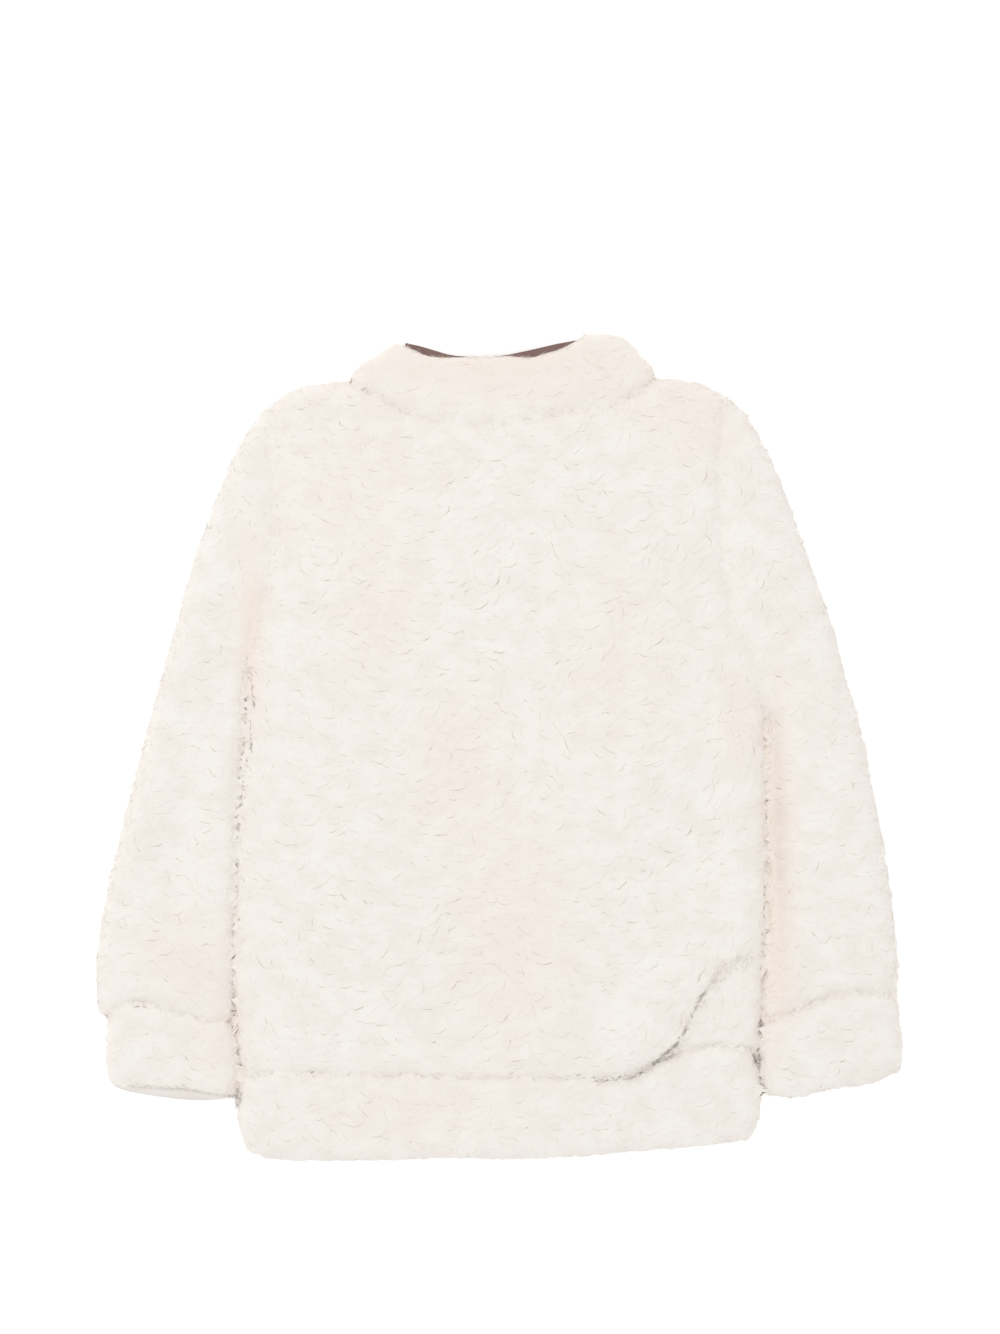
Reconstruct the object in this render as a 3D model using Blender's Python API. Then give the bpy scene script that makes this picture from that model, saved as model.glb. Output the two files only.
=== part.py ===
"""Zip-up fleece sweatshirt for a child, laid flat on its front with its back up.

X runs across the garment, Y from the hem up to the collar, Z up from the surface that it lies on.
Its two layers lie on each other at the height MID. Every size below is in millimetres.
"""

import math
from collections import namedtuple

import bmesh
import bpy
import numpy as np

MM = 0.001

# Cloth
WALL = 9.0  # one layer of fleece, its pile included
GAP = 0.3  # clear space between neighbouring pieces
SLEEVE_CLEAR = 0.9  # between the body's side and the sleeve that lies beside it
MID = WALL + GAP / 2  # the height at which the back lies on the fronts
ROLL = 11.0  # how far in from a folded edge the cloth has rounded over
RIM = 1.0  # height left at the cut edge of a side seam
TURNED_EDGE = 6.0  # how far in from a turned hem the cloth has rounded over
TURNED_LOW = 0.5  # share of the full height left at a turned hem
BLOUSE = 9.0  # how far in from a band's seam the fuller cloth has rounded over
BLOUSE_LOW = 0.62  # share of the full height left at that seam
SEAM_DIP = 2.4  # how deep a seam pulls the pile in
SEAM_REACH = 4.0  # how wide it does so

# Zip, which faces down in the middle of the fronts
ZIP_HALF = 8.0  # from the middle to the fleece's edge on either side
TAPE_IN = 1.6  # from the middle to the woven tape's inner edge
TAPE_OUT = 19.0  # from the middle to its outer edge
TAPE_THICK = 1.0
TAPE_LOW = 6.6  # height of the tape's lower side
PRESSED = 6.3  # height of the fleece's inside where the tape is sewn on it
SEWN_MARGIN = 1.0  # how far past the tape that stretch goes on
ZIP_BOTTOM = -259.0
ZIP_TOP = 239.0

# Slider and pull tab
SLIDER_Y = 226.0
SLIDER_LONG = 14.0
SLIDER_WIDE = 10.0
SLIDER_TAIL = 7.6
WING_LOW = (3.9, 5.1)  # lower and upper side of the wing on the garment's outside
WING_HIGH = (7.9, 8.9)  # the same on its inside
NECK_HALF = 1.2
BRIDGE_HALF_WIDE = 1.2
BRIDGE_HALF_LONG = 4.6
BRIDGE_POST = 1.2
BRIDGE_LOW = 0.7
BRIDGE_THICK = 1.0
WING_CORNER = 2.0
NECK_SPAN = (2.5, 6.0)  # where the neck between the plates starts and ends, from the slider's middle
SUNK = 0.2  # how far a joined block reaches into its neighbour
PULL_Z = 2.8
PULL_THICK = 1.3
PULL_LONG = 28.0
PULL_WIDE = 6.4
PULL_SHOULDER = 6.6  # from the hinge to where the plate starts to narrow
PULL_WAIST = 12.6  # from the hinge to its narrowest place
PULL_WAIST_WIDE = 5.0
PULL_WINDOW_HALF = 1.65
PULL_WINDOW_LONG = 4.6
PULL_HOLE_R = 1.4
PULL_SOFT_EDGE = 0.25
PULL_END_STEPS = 8
PULL_HOLE_STEPS = 12

# Twill tape inside the back of the collar
NECK_TAPE_THICK = 1.0
NECK_TAPE_HIGH = 18.0
COLLAR_SLIT = 1.0  # half of the space between the collar's layers, which holds the tape

# Plan outlines, columns x and y, from the hem upwards or from the body outwards
SIDE_LEFT = [(-168, -211), (-172, -166), (-171.5, -96), (-168.5, -32), (-165.6, 10), (-163.6, 46)]
SIDE_RIGHT = [(167, -198), (170, -160), (173.5, -112), (173, -50), (172, -20), (172, 8)]
ARMHOLE_LEFT = [
    (-163.6, 46), (-162.9, 58), (-161.6, 70), (-158, 81.5), (-150.5, 98), (-146, 120), (-145, 150),
    (-146, 186), (-148, 222.5),
]
ARMHOLE_RIGHT = [
    (172, 8), (171.7, 20), (170.6, 33), (167.4, 47), (160.5, 63), (150.5, 88), (144.5, 126),
    (142, 176), (144.5, 229),
]
SHOULDER_LEFT = [(-148, 222.5), (-137, 229.5), (-123, 235), (-97, 236.5)]
SHOULDER_RIGHT = [(144.5, 229), (131, 234.5), (117, 238), (101, 238.5)]
NECK_BACK = [
    (-97, 236.5), (-80, 228), (-68, 222), (-60, 215.5), (-24, 210), (-3, 208.5), (20, 212), (36, 216),
    (60, 220.5), (76, 223), (101, 238.5),
]
NECK_FRONT_LEFT = [(-79, 221.5), (-60, 206.5), (-32, 197), (-ZIP_HALF, 194)]
NECK_FRONT_RIGHT = [(83, 222.5), (62, 206.5), (32, 197), (ZIP_HALF, 194)]
HEM_SEAM = [
    (-168, -211), (-110, -211.5), (-40, -213.5), (40, -215), (78, -213), (108, -202), (130, -194.5),
    (148, -192), (167, -198),
]
HEM_LEFT = [(-168, -211), (-169.8, -228), (-170, -244), (-165, -259.5)]
HEM_RIGHT = [(167, -198), (168.5, -220), (168.5, -240), (163, -254)]
HEM_EDGE = [
    (-165, -259.5), (-155, -264.4), (-134, -267.2), (-78, -267), (-26, -265.5), (26, -266), (78, -262),
    (118, -258.8), (163, -254),
]
HEM_EDGE_FRONT_LEFT = [(-165, -259.5), (-120, -264), (-60, -264), (-ZIP_HALF, -262)]
HEM_EDGE_FRONT_RIGHT = [(163, -254), (120, -257), (60, -260), (ZIP_HALF, -262)]

SLEEVE_OUTER_LEFT = [
    (-148, 222.5), (-158, 212.5), (-169, 195.6), (-182, 165), (-195, 130), (-207.2, 87), (-220.2, 41),
    (-233.2, -9), (-246.2, -60), (-255.7, -100), (-261, -137), (-262, -151), (-262, -163), (-260, -171.5),
    (-255.2, -177),
]
SLEEVE_OUTER_RIGHT = [
    (144.5, 229), (156.5, 220.5), (168, 200), (181.5, 173), (190.5, 147), (199.5, 121), (209, 96),
    (217.5, 70), (223.7, 44), (232.5, 17), (239, -17), (247.5, -60), (254, -104), (257.4, -138),
    (258, -160.5),
]
CUFF_SEAM_LEFT = [
    (-255.2, -177), (-251.5, -168.5), (-240, -164.5), (-221, -167.5), (-207, -172.5), (-190.5, -176.5),
    (-174, -178),
]
CUFF_SEAM_RIGHT = [
    (258, -160.5), (238, -158.5), (221, -158.5), (208, -163.5), (196, -168.5), (171.2, -178),
]
CUFF_OUTER_LEFT = [(-255.2, -177), (-254.8, -190), (-256, -206), (-253.6, -217.5)]
CUFF_OUTER_RIGHT = [(258, -160.5), (258, -179), (261.3, -192), (260.5, -208.5)]
CUFF_INNER_LEFT = [(-174, -178), (-172.4, -190), (-171.3, -204), (-171.3, -227)]
CUFF_INNER_RIGHT = [(171.2, -178), (170.4, -195), (170.2, -210), (170.8, -224)]
CUFF_EDGE_LEFT = [(-253.6, -217.5), (-241, -218.9), (-220.5, -219.9), (-202.6, -221), (-171.3, -227)]
CUFF_EDGE_LEFT_UNDER = [
    (-253.6, -217.5), (-248, -222.5), (-232.4, -226.2), (-206.3, -229.6), (-186, -229.9), (-171.3, -227),
]
CUFF_EDGE_RIGHT = [
    (260.5, -208.5), (250, -213), (240, -217.6), (228, -218.6), (212, -221.6), (190, -226.7), (170.8, -224),
]
CUFF_EDGE_RIGHT_UNDER = [(260.5, -208.5), (238, -215.5), (212, -219.5), (190, -223), (170.8, -224)]

COLLAR_FOLD_LEFT = [(-97, 236.5), (-98, 241), (-91, 247), (-81, 253), (-72, 260), (-64, 263.5)]
COLLAR_FOLD_RIGHT = [(101, 238.5), (102, 242), (97, 248), (90, 254), (85.5, 260), (80, 266)]
COLLAR_EDGE = [
    (-64, 263.5), (-56, 258), (-48, 254), (-38, 253), (-16, 253.3), (8, 254), (18, 252.3), (27, 255),
    (38, 258), (47, 262), (54, 266.5), (66, 267.5), (80, 266),
]
COLLAR_EDGE_FRONT_LEFT = [(-64, 263.5), (-52, 253), (-32, 246.5), (-ZIP_HALF, 242)]
COLLAR_EDGE_FRONT_RIGHT = [(80, 266), (64, 254), (36, 246.5), (ZIP_HALF, 242)]
NECK_TAPE_EDGE = [
    (-55.5, 261.5), (-50, 260), (-41, 257.3), (-31, 254.6), (-15, 253.5), (1, 254.3), (12, 256.4),
    (24, 259), (37, 262), (50, 264.4),
]

Fold = namedtuple("Fold", "x0 y0 x1 y1 half_width height")
# Soft ridges (height above zero) and troughs (below zero) of the upper layer
FOLDS = [
    Fold(151, 6, 154, -120, 14, 2.6),
    Fold(-156, -148, -155, -186, 9, -1.8),
    Fold(-149, 158, -131, 131, 9, -2.4),
    Fold(178, 44, 184, -50, 9, -3.6),
    Fold(184, -50, 189, -118, 9, -3.4),
    Fold(190, 54, 222, 48, 8, -2.8),
    Fold(-84, 230, -66, 219, 7, -1.6),
    Fold(-30, 60, -14, -185, 30, -1.4),
    Fold(-118, 120, -96, -60, 34, 1.6),
    Fold(64, 150, 92, -40, 36, 1.5),
    Fold(-120, -40, -128, -180, 26, 1.2),
    Fold(-188, 120, -224, -40, 20, 1.8),
    Fold(-196, 40, -212, -90, 16, -1.5),
    Fold(210, 60, 236, -80, 18, 1.6),
    Fold(-236, -118, -196, -140, 14, 1.5),
    Fold(214, -118, 246, -128, 12, 1.4),
]
# The body's cloth hangs over the band at the lower right: crest line, columns x, y and height
DRAPE = [
    (56, -212, 0.6), (82, -204, 3.4), (100, -190, 4.8), (112, -174, 4.8), (122, -156, 3.8),
    (131, -134, 2.0), (140, -104, 0.2),
]
DRAPE_INSIDE = 26.0  # how far the rise reaches on the body's side
DRAPE_OUTSIDE = 9.0  # how soon it falls away towards the side seam

# Number of steps along and across the pieces
ROLL_STEPS = 3
ARMHOLE_STEPS = 8
SIDE_STEPS = 15
SHOULDER_STEPS = 3
NECK_STEPS = 15
FRONT_STEPS = 10
SLEEVE_STEPS = 20
INNER_EASE = 1.2  # above 1, a sleeve's rows start out close together at the underarm
FADE_ROWS = 5  # how many rows keep some of the armhole's curve
FADE_REACH = 60.0  # how far up the sleeve the cuff seam's curve goes on
BAND_STEPS = 3


def curve(points, steps=10):
    """A smooth line through the points, as an array of plan points."""
    p = np.array(points, float)
    ends = np.vstack([2 * p[0] - p[1], p, 2 * p[-1] - p[-2]])
    line = []
    for a, b, c, d in zip(ends, ends[1:], ends[2:], ends[3:]):
        square = 2 * a - 5 * b + 4 * c - d
        cube = 3 * b - a - 3 * c + d
        for t in np.arange(steps) / steps:
            line.append(b + ((c - a) * t + square * t**2 + cube * t**3) / 2)
    return np.array(line + [p[-1]])


def lengths(line):
    """Distance along the line to each of its points."""
    return np.concatenate([[0], np.cumsum(np.linalg.norm(np.diff(line, axis=0), axis=1))])


def sample(line, distances):
    """Points of the line at the given distances along it."""
    at = lengths(line)
    return np.column_stack([np.interp(distances, at, line[:, k]) for k in range(line.shape[1])])


def rounded_steps(reach):
    """Distances from a rounded edge, closest together where the surface is steepest."""
    return [reach * (1 - math.cos(math.pi / 2 * k / ROLL_STEPS)) for k in range(ROLL_STEPS + 1)]


def spread(line, count, start=0.0, end=0.0):
    """Points along the line: close together over start and end millimetres at its ends, even between."""
    total = lengths(line)[-1]
    first = rounded_steps(start)[:-1] if start else []
    last = [total - d for d in reversed(rounded_steps(end)[:-1])] if end else []
    return sample(line, np.concatenate([first, np.linspace(start, total - end, count + 1), last]))


def straight_start(line):
    """The line with its first stretch, as wide as a fold, made straight."""
    at = lengths(line)
    end = sample(line, [ROLL])[0]
    share = (at / ROLL)[:, None]
    return np.where(share < 1, line[0] + (end - line[0]) * share, line)


def straight_ends(line):
    return straight_start(straight_start(line)[::-1])[::-1]


def towards_zip(line, count):
    """Points from a folded edge to the zip, one of them just past the outer edge of the zip's tape."""
    at = lengths(line)
    past_tape, zip_edge = np.interp([-TAPE_OUT - SEWN_MARGIN, -ZIP_HALF], -np.abs(line[:, 0]), at)
    even = np.linspace(ROLL, past_tape, count + 1)
    return sample(line, np.concatenate([rounded_steps(ROLL)[:-1], even, [zip_edge]]))


def shifted(line, amount):
    """The line moved to its left by amount, looking along it."""
    way = np.gradient(line, axis=0)
    way /= np.linalg.norm(way, axis=1)[:, None]
    return line + amount * np.column_stack([-way[:, 1], way[:, 0]])


def joined(*lines):
    """Several lines end to end, each shared end point kept once."""
    return np.vstack([lines[0]] + [line[1:] for line in lines[1:]])


def patch(bottom, top, left, right):
    """Grid of plan points between four edges, as [row from bottom to top][column from left to right]."""
    ub, ut = (lengths(line) / lengths(line)[-1] for line in (bottom, top))
    vl, vr = (lengths(line) / lengths(line)[-1] for line in (left, right))
    v = (vl + vr)[:, None] / 2
    u = ub[None, :] * (1 - v) + ut[None, :] * v
    v = vl[:, None] * (1 - u) + vr[:, None] * u
    u, v = u[..., None], v[..., None]
    across = (1 - v) * bottom[None] + v * top[None]
    along = (1 - u) * left[:, None] + u * right[:, None]
    low = (1 - u) * bottom[0] + u * bottom[-1]
    high = (1 - u) * top[0] + u * top[-1]
    return across + along - (1 - v) * low - v * high


def distance(points, line):
    """Plan distance from each point to the nearest stretch of the line."""
    best = np.full(points.shape[:-1], np.inf)
    for a, b in zip(line, line[1:]):
        way = b - a
        t = np.clip(((points - a) @ way) / (way @ way), 0, 1)
        best = np.minimum(best, np.linalg.norm(points - a - t[..., None] * way, axis=-1))
    return best


def rounding(d, reach):
    """Share of the full height at distance d from an edge that has rounded over by reach."""
    t = np.clip(d / reach, 0, 1)
    return np.sqrt(1 - (1 - t) ** 2)


def relief(points):
    """Height that the folds add to the upper layer."""
    total = np.zeros(points.shape[:-1])
    for fold in FOLDS:
        line = np.array([(fold.x0, fold.y0), (fold.x1, fold.y1)], float)
        total += fold.height * np.exp(-((distance(points, line) / fold.half_width) ** 2))
    crest = curve(DRAPE, 4)
    plan = crest[:, :2]
    away = np.linalg.norm(points[..., None, :] - plan, axis=-1)
    nearest = away.argmin(axis=-1)
    way = np.gradient(plan, axis=0)[nearest]
    offset = points - plan[nearest]
    outside = way[..., 0] * offset[..., 1] - way[..., 1] * offset[..., 0] < 0
    reach = np.where(outside, DRAPE_OUTSIDE, DRAPE_INSIDE)
    return total + crest[nearest, 2] * np.exp(-((away.min(axis=-1) / reach) ** 2))


LINES = {
    name: curve(points)
    for name, points in {
        "side_left": SIDE_LEFT,
        "side_right": SIDE_RIGHT,
        "armhole_left": ARMHOLE_LEFT,
        "armhole_right": ARMHOLE_RIGHT,
        "shoulder_left": SHOULDER_LEFT,
        "shoulder_right": SHOULDER_RIGHT,
        "neck_back": NECK_BACK,
        "hem": HEM_SEAM,
        "outer_left": SLEEVE_OUTER_LEFT,
        "outer_right": SLEEVE_OUTER_RIGHT,
        "cuff_left": CUFF_SEAM_LEFT,
        "cuff_right": CUFF_SEAM_RIGHT,
        "collar_fold_left": COLLAR_FOLD_LEFT,
        "collar_fold_right": COLLAR_FOLD_RIGHT,
    }.items()
}


def neck_front(back, points):
    """A front's neck seam. It leaves the shoulder along the back's seam, then turns down to the zip."""
    line = np.vstack([back[0], curve([back[ROLL_STEPS], *points])])
    return towards_zip(line, FRONT_STEPS)


SHOULDER_SPANS = SHOULDER_STEPS + ROLL_STEPS
HEM_STEPS = NECK_STEPS + 2 * SHOULDER_SPANS
HEM_FRONT_STEPS = FRONT_STEPS + SHOULDER_SPANS

HEM_HALVES = {
    "left": LINES["hem"][LINES["hem"][:, 0] < 0],
    "right": LINES["hem"][LINES["hem"][:, 0] > 0][::-1],
}

NECK_SEAM = straight_ends(spread(LINES["neck_back"], NECK_STEPS, ROLL, ROLL))

# The points that the pieces on both sides of a seam share. Within a fold's width they run straight
SEAMS = {
    "neck_back": NECK_SEAM,
    "neck_left": neck_front(NECK_SEAM, NECK_FRONT_LEFT),
    "neck_right": neck_front(NECK_SEAM[::-1], NECK_FRONT_RIGHT),
    "hem": straight_ends(spread(LINES["hem"], HEM_STEPS, ROLL, ROLL)),
    "hem_left": straight_start(towards_zip(HEM_HALVES["left"], HEM_FRONT_STEPS)),
    "hem_right": straight_start(towards_zip(HEM_HALVES["right"], HEM_FRONT_STEPS)),
}
for seam_name in ("armhole_left", "armhole_right", "cuff_left", "cuff_right"):
    SEAMS[seam_name] = straight_ends(spread(LINES[seam_name], ARMHOLE_STEPS, ROLL, ROLL))


def lowered(points, lines, low, reach):
    """Share of the full height left near lines where the cloth is turned or sewn to a band."""
    share = np.ones(points.shape[:-1])
    for line in lines:
        share *= low + (1 - low) * rounding(distance(points, line), reach)
    return share


def rolled(points, folded):
    """Share of the full height near the edges where the cloth folds round to the other layer."""
    return rounding(np.min([distance(points, line) for line in folded], axis=0), ROLL)


def upper_height(points, folded, turned=(), bloused=()):
    """Height of the upper layer above MID: rounded at its edges, drawn in at its seams."""
    full = MID + relief(points)
    for name in ("armhole_left", "armhole_right", "neck_back"):
        full = full - SEAM_DIP * np.exp(-((distance(points, LINES[name]) / SEAM_REACH) ** 2))
    share = lowered(points, turned, TURNED_LOW, TURNED_EDGE) * lowered(points, bloused, BLOUSE_LOW, BLOUSE)
    return full * share * rolled(points, folded)


def lower_height(points, folded, turned=()):
    """Depth of the lower layer below MID: it lies flat, rounded at folded and turned edges."""
    return MID * lowered(points, turned, TURNED_LOW, TURNED_EDGE) * rolled(points, folded)


def beside_zip(plan):
    """The grid with its last column but one set straight along the outer edge of the zip's tape."""
    plan[:, -2, 0] = np.sign(plan[:, -2, 0]) * (TAPE_OUT + SEWN_MARGIN)
    return plan


def pressed_inside(plan, height):
    """The inside of a front, at height but for its last two columns, where the zip's tape is sewn on it."""
    heights = np.full(plan.shape[:-1], height)
    heights[:, -2:] = PRESSED
    return at_height(plan, heights)


def at_height(plan, height):
    return np.concatenate([plan, np.broadcast_to(height, plan.shape[:-1])[..., None]], axis=-1)


def material(name, colour, roughness, metallic=0.0):
    made = bpy.data.materials.new(name)
    made.use_nodes = True
    shader = made.node_tree.nodes["Principled BSDF"]
    shader.inputs["Base Color"].default_value = (*colour, 1)
    shader.inputs["Roughness"].default_value = roughness
    shader.inputs["Metallic"].default_value = metallic
    return made


FLEECE = ((0.875, 0.825, 0.77), 0.95)
TWILL = ((0.12, 0.07, 0.06), 0.85)
TAPE = ((0.62, 0.57, 0.5), 0.8)
METAL = ((0.55, 0.5, 0.44), 0.35, 1.0)


def add_object(name, bm, look):
    """Turns the finished mesh, in millimetres, into a named object in metres."""
    bmesh.ops.scale(bm, vec=(MM, MM, MM), verts=bm.verts)
    mesh = bpy.data.meshes.new(name)
    bm.to_mesh(mesh)
    bm.free()
    mesh.shade_smooth()
    mesh.set_sharp_from_angle(angle=math.radians(40))
    mesh.materials.append(material(name, *look))
    obj = bpy.data.objects.new(name, mesh)
    bpy.context.scene.collection.objects.link(obj)
    return obj


def merge_flat_faces(bm):
    """Joins neighbouring faces that lie in one level plane."""
    level = 1e-4

    def flat(face):
        heights = [v.co.z for v in face.verts]
        return max(heights) - min(heights) < level

    within = {edge for edge in bm.edges if all(flat(face) for face in edge.link_faces)}
    points = [v for v in bm.verts if all(edge in within for edge in v.link_edges)]
    bmesh.ops.dissolve_verts(bm, verts=points)


def wall(name, outer, inner, look, ring=False):
    """A closed wall between two grids of points, [row][column]. A ring's last column meets its first."""
    bm = bmesh.new()
    rows, columns = outer.shape[:2]
    a = [[bm.verts.new(point) for point in row] for row in outer]
    b = [[bm.verts.new(point) for point in row] for row in inner]
    spans = columns if ring else columns - 1
    for j in range(spans):
        k = (j + 1) % columns
        for i in range(rows - 1):
            bm.faces.new((a[i][j], a[i][k], a[i + 1][k], a[i + 1][j]))
            bm.faces.new((b[i + 1][j], b[i + 1][k], b[i][k], b[i][j]))
        bm.faces.new((b[0][j], b[0][k], a[0][k], a[0][j]))
        bm.faces.new((a[-1][j], a[-1][k], b[-1][k], b[-1][j]))
    if not ring:
        for i in range(rows - 1):
            bm.faces.new((a[i][0], a[i + 1][0], b[i + 1][0], b[i][0]))
            bm.faces.new((b[i][-1], b[i + 1][-1], a[i + 1][-1], a[i][-1]))
    bmesh.ops.recalc_face_normals(bm, faces=bm.faces)
    bm.normal_update()
    merge_flat_faces(bm)
    bmesh.ops.triangulate(bm, faces=bm.faces)
    return add_object(name, bm, look)


def between(start, end, like):
    """Straight line between two points, its points spaced as those of another line."""
    share = lengths(like) / lengths(like)[-1]
    return start + share[:, None] * (end - start)


def edge_from(start, points):
    """A band's folded edge, begun at the end of its seam."""
    line = curve(points)
    line = np.vstack([start, line[lengths(line) > TURNED_EDGE]])
    return spread(line, BAND_STEPS, TURNED_EDGE, TURNED_EDGE)


def drawn_in(plan, left=0.0, right=0.0):
    """The same grid with its first and last columns moved in by left and right, and those near them less."""
    moved = np.empty_like(plan)
    for i, row in enumerate(plan):
        at = lengths(row)
        back = at[-1] - at
        at = np.where(back < 2 * right, at[-1] - right - back / 2, at)
        at = np.where(lengths(row) < 2 * left, left + lengths(row) / 2, at)
        moved[i] = sample(row, at)
    return moved


def side_edge(side):
    """The body's edge from the hem seam to the underarm and on up the armhole to the shoulder."""
    return joined(spread(LINES["side_" + side], SIDE_STEPS, start=BLOUSE), SEAMS["armhole_" + side])


def shoulder(side):
    return spread(LINES["shoulder_" + side], SHOULDER_STEPS, start=ROLL)


def body_folds():
    names = ("side_left", "side_right", "shoulder_left", "shoulder_right", "outer_left", "outer_right")
    return [LINES[name] for name in names + ("collar_fold_left", "collar_fold_right")]


def make_back():
    top = joined(shoulder("left"), SEAMS["neck_back"], shoulder("right")[::-1])
    plan = patch(SEAMS["hem"], top, side_edge("left"), side_edge("right"))
    height = np.maximum(RIM, upper_height(plan, body_folds(), bloused=[LINES["hem"]]))
    wall("back", at_height(plan, MID + height), at_height(plan, MID + GAP / 2), FLEECE)


def make_front(side):
    """A front from the side seam to the zip, its columns running towards the zip."""
    top = joined(shoulder(side), SEAMS["neck_" + side])
    bottom, edge = SEAMS["hem_" + side], side_edge(side)
    plan = beside_zip(patch(bottom, top, edge, between(bottom[-1], top[-1], edge)))
    outer = at_height(plan, MID - np.maximum(RIM, lower_height(plan, body_folds())))
    wall("front_" + side, outer, pressed_inside(plan, MID - GAP / 2), FLEECE)


def eased(line, ease):
    """Points from the armhole to the cuff, closer together at the start with a higher ease."""
    total = lengths(line)[-1]
    step = np.arange(SLEEVE_STEPS + 1) / SLEEVE_STEPS
    near_cuff = [total - d for d in reversed(rounded_steps(BLOUSE)[:-1])]
    return sample(line, np.concatenate([(total - BLOUSE) * step**ease, near_cuff]))


def bend(line, share):
    """How far each point of the line is off the straight between its ends."""
    return line - line[0] - share[:, None] * (line[-1] - line[0])


def sleeve_rows(armhole, cuff, outer_line, inner_line):
    """Rows across a sleeve. They fan out about the underarm and lose the armhole's curve as they go."""
    outer = eased(outer_line, 1)
    inner = eased(inner_line, INNER_EASE)
    to_cuff = lengths(inner)[-1] - lengths(inner)
    u_first, u_last = (lengths(line) / lengths(line)[-1] for line in (armhole, cuff))
    bend_first, bend_last = bend(armhole, u_first), bend(cuff, u_last)
    rows = []
    for i, t in enumerate(np.linspace(0, 1, len(outer))):
        u = ((1 - t) * u_first + t * u_last)[:, None]
        straight = outer[i] + u * (inner[i] - outer[i])
        first = max(0, 1 - i / FADE_ROWS)
        last = max(0, 1 - to_cuff[i] / FADE_REACH)
        rows.append(straight + first * bend_first + last * bend_last)
    return np.array(rows)


def make_sleeve(side, outwards):
    """A flattened tube from the armhole to the cuff seam; outwards is +1 or -1 along X."""
    armhole = shifted(SEAMS["armhole_" + side], -outwards * GAP)[::-1]
    cuff = SEAMS["cuff_" + side]
    past_start = lengths(LINES["outer_" + side]) > GAP
    outer_line = np.vstack([armhole[:1], LINES["outer_" + side][past_start]])
    body_side = shifted(LINES["side_" + side], -outwards * SLEEVE_CLEAR)[::-1]
    beside = (body_side[:, 1] < armhole[-1, 1] - ROLL) & (body_side[:, 1] > cuff[-1, 1] + ROLL)
    inner_line = np.vstack([armhole[-1:], body_side[beside], cuff[-1:]])
    plan = sleeve_rows(armhole, cuff, outer_line, inner_line)
    folded = [plan[:, 0], plan[:, -1], LINES["shoulder_" + side]]
    upper = at_height(plan, MID + upper_height(plan, folded, bloused=[cuff]))
    lower = at_height(plan, MID - lower_height(plan, folded))
    tube("sleeve_" + side, upper, lower, plan)


def tube(name, upper, lower, plan):
    """A closed flat ring: over the top from the first column to the last, and back underneath."""
    inside = drawn_in(plan, WALL, WALL)
    rise = np.full(inside.shape[1], GAP / 2)
    rise[[0, -1]] = 0
    outer = np.concatenate([upper, lower[:, -2:0:-1]], axis=1)
    above, under = at_height(inside, MID + rise), at_height(inside, MID - rise)
    inner = np.concatenate([above, under[:, -2:0:-1]], axis=1)
    wall(name, outer, inner, FLEECE, ring=True)


def make_cuff(side, down, outer_edge, inner_edge, hem, hem_under):
    """A turned cuff below the sleeve's seam; down is the side of the seam line that it lies on."""
    seam = shifted(SEAMS["cuff_" + side], down * GAP)
    left = edge_from(seam[0], outer_edge)
    right = edge_from(seam[-1], inner_edge)
    hem, hem_under = (spread(curve(line), ARMHOLE_STEPS, ROLL, ROLL) for line in (hem, hem_under))
    above, below = (patch(seam, edge, left, right) for edge in (hem, hem_under))
    folded = [left, right]
    upper = at_height(above, MID + upper_height(above, folded, turned=[hem, seam]))
    lower = at_height(below, MID - lower_height(below, folded, turned=[hem_under]))
    tube("cuff_" + side, upper, lower, above)


def band(name, above, under, folded, turned, turned_under, slit):
    """A band open at the zip: under it to one fold, over the top, and back under to the zip."""
    upper = at_height(above, MID + upper_height(above, folded, turned=turned))
    lower_left, lower_right = (
        at_height(plan, MID - lower_height(plan, folded, turned=turned_under)) for plan in under
    )
    inside_above = drawn_in(above, WALL, WALL)
    inside_left, inside_right = (drawn_in(plan, left=WALL) for plan in under)
    rise = np.full(above.shape[1], slit)
    rise[[0, -1]] = 0
    upper_in = at_height(inside_above, MID + rise)
    left_in = pressed_inside(inside_left, MID - slit)
    right_in = pressed_inside(inside_right, MID - slit)
    outer = np.concatenate([lower_left[:, :0:-1], upper, lower_right[:, 1:]], axis=1)
    inner = np.concatenate([left_in[:, :0:-1], upper_in, right_in[:, 1:]], axis=1)
    wall(name, outer, inner, FLEECE)


def make_hem_band():
    seam = shifted(SEAMS["hem"], -GAP)
    edge = spread(curve(HEM_EDGE), HEM_STEPS, ROLL, ROLL)
    left, right = edge_from(seam[0], HEM_LEFT), edge_from(seam[-1], HEM_RIGHT)
    under = []
    turned_under = []
    for side, fold, front_edge, down in (
        ("left", left, HEM_EDGE_FRONT_LEFT, -GAP),
        ("right", right, HEM_EDGE_FRONT_RIGHT, GAP),
    ):
        front_seam = shifted(SEAMS["hem_" + side], down)
        front_seam[0] = fold[0]
        turned_under.append(towards_zip(curve(front_edge), HEM_FRONT_STEPS))
        zip_edge = between(front_seam[-1], turned_under[-1][-1], fold)
        under.append(beside_zip(patch(front_seam, turned_under[-1], fold, zip_edge)))
    above = patch(seam, edge, left, right)
    band("hem_band", above, under, [left, right], [edge, seam], turned_under, GAP / 2)


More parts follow.
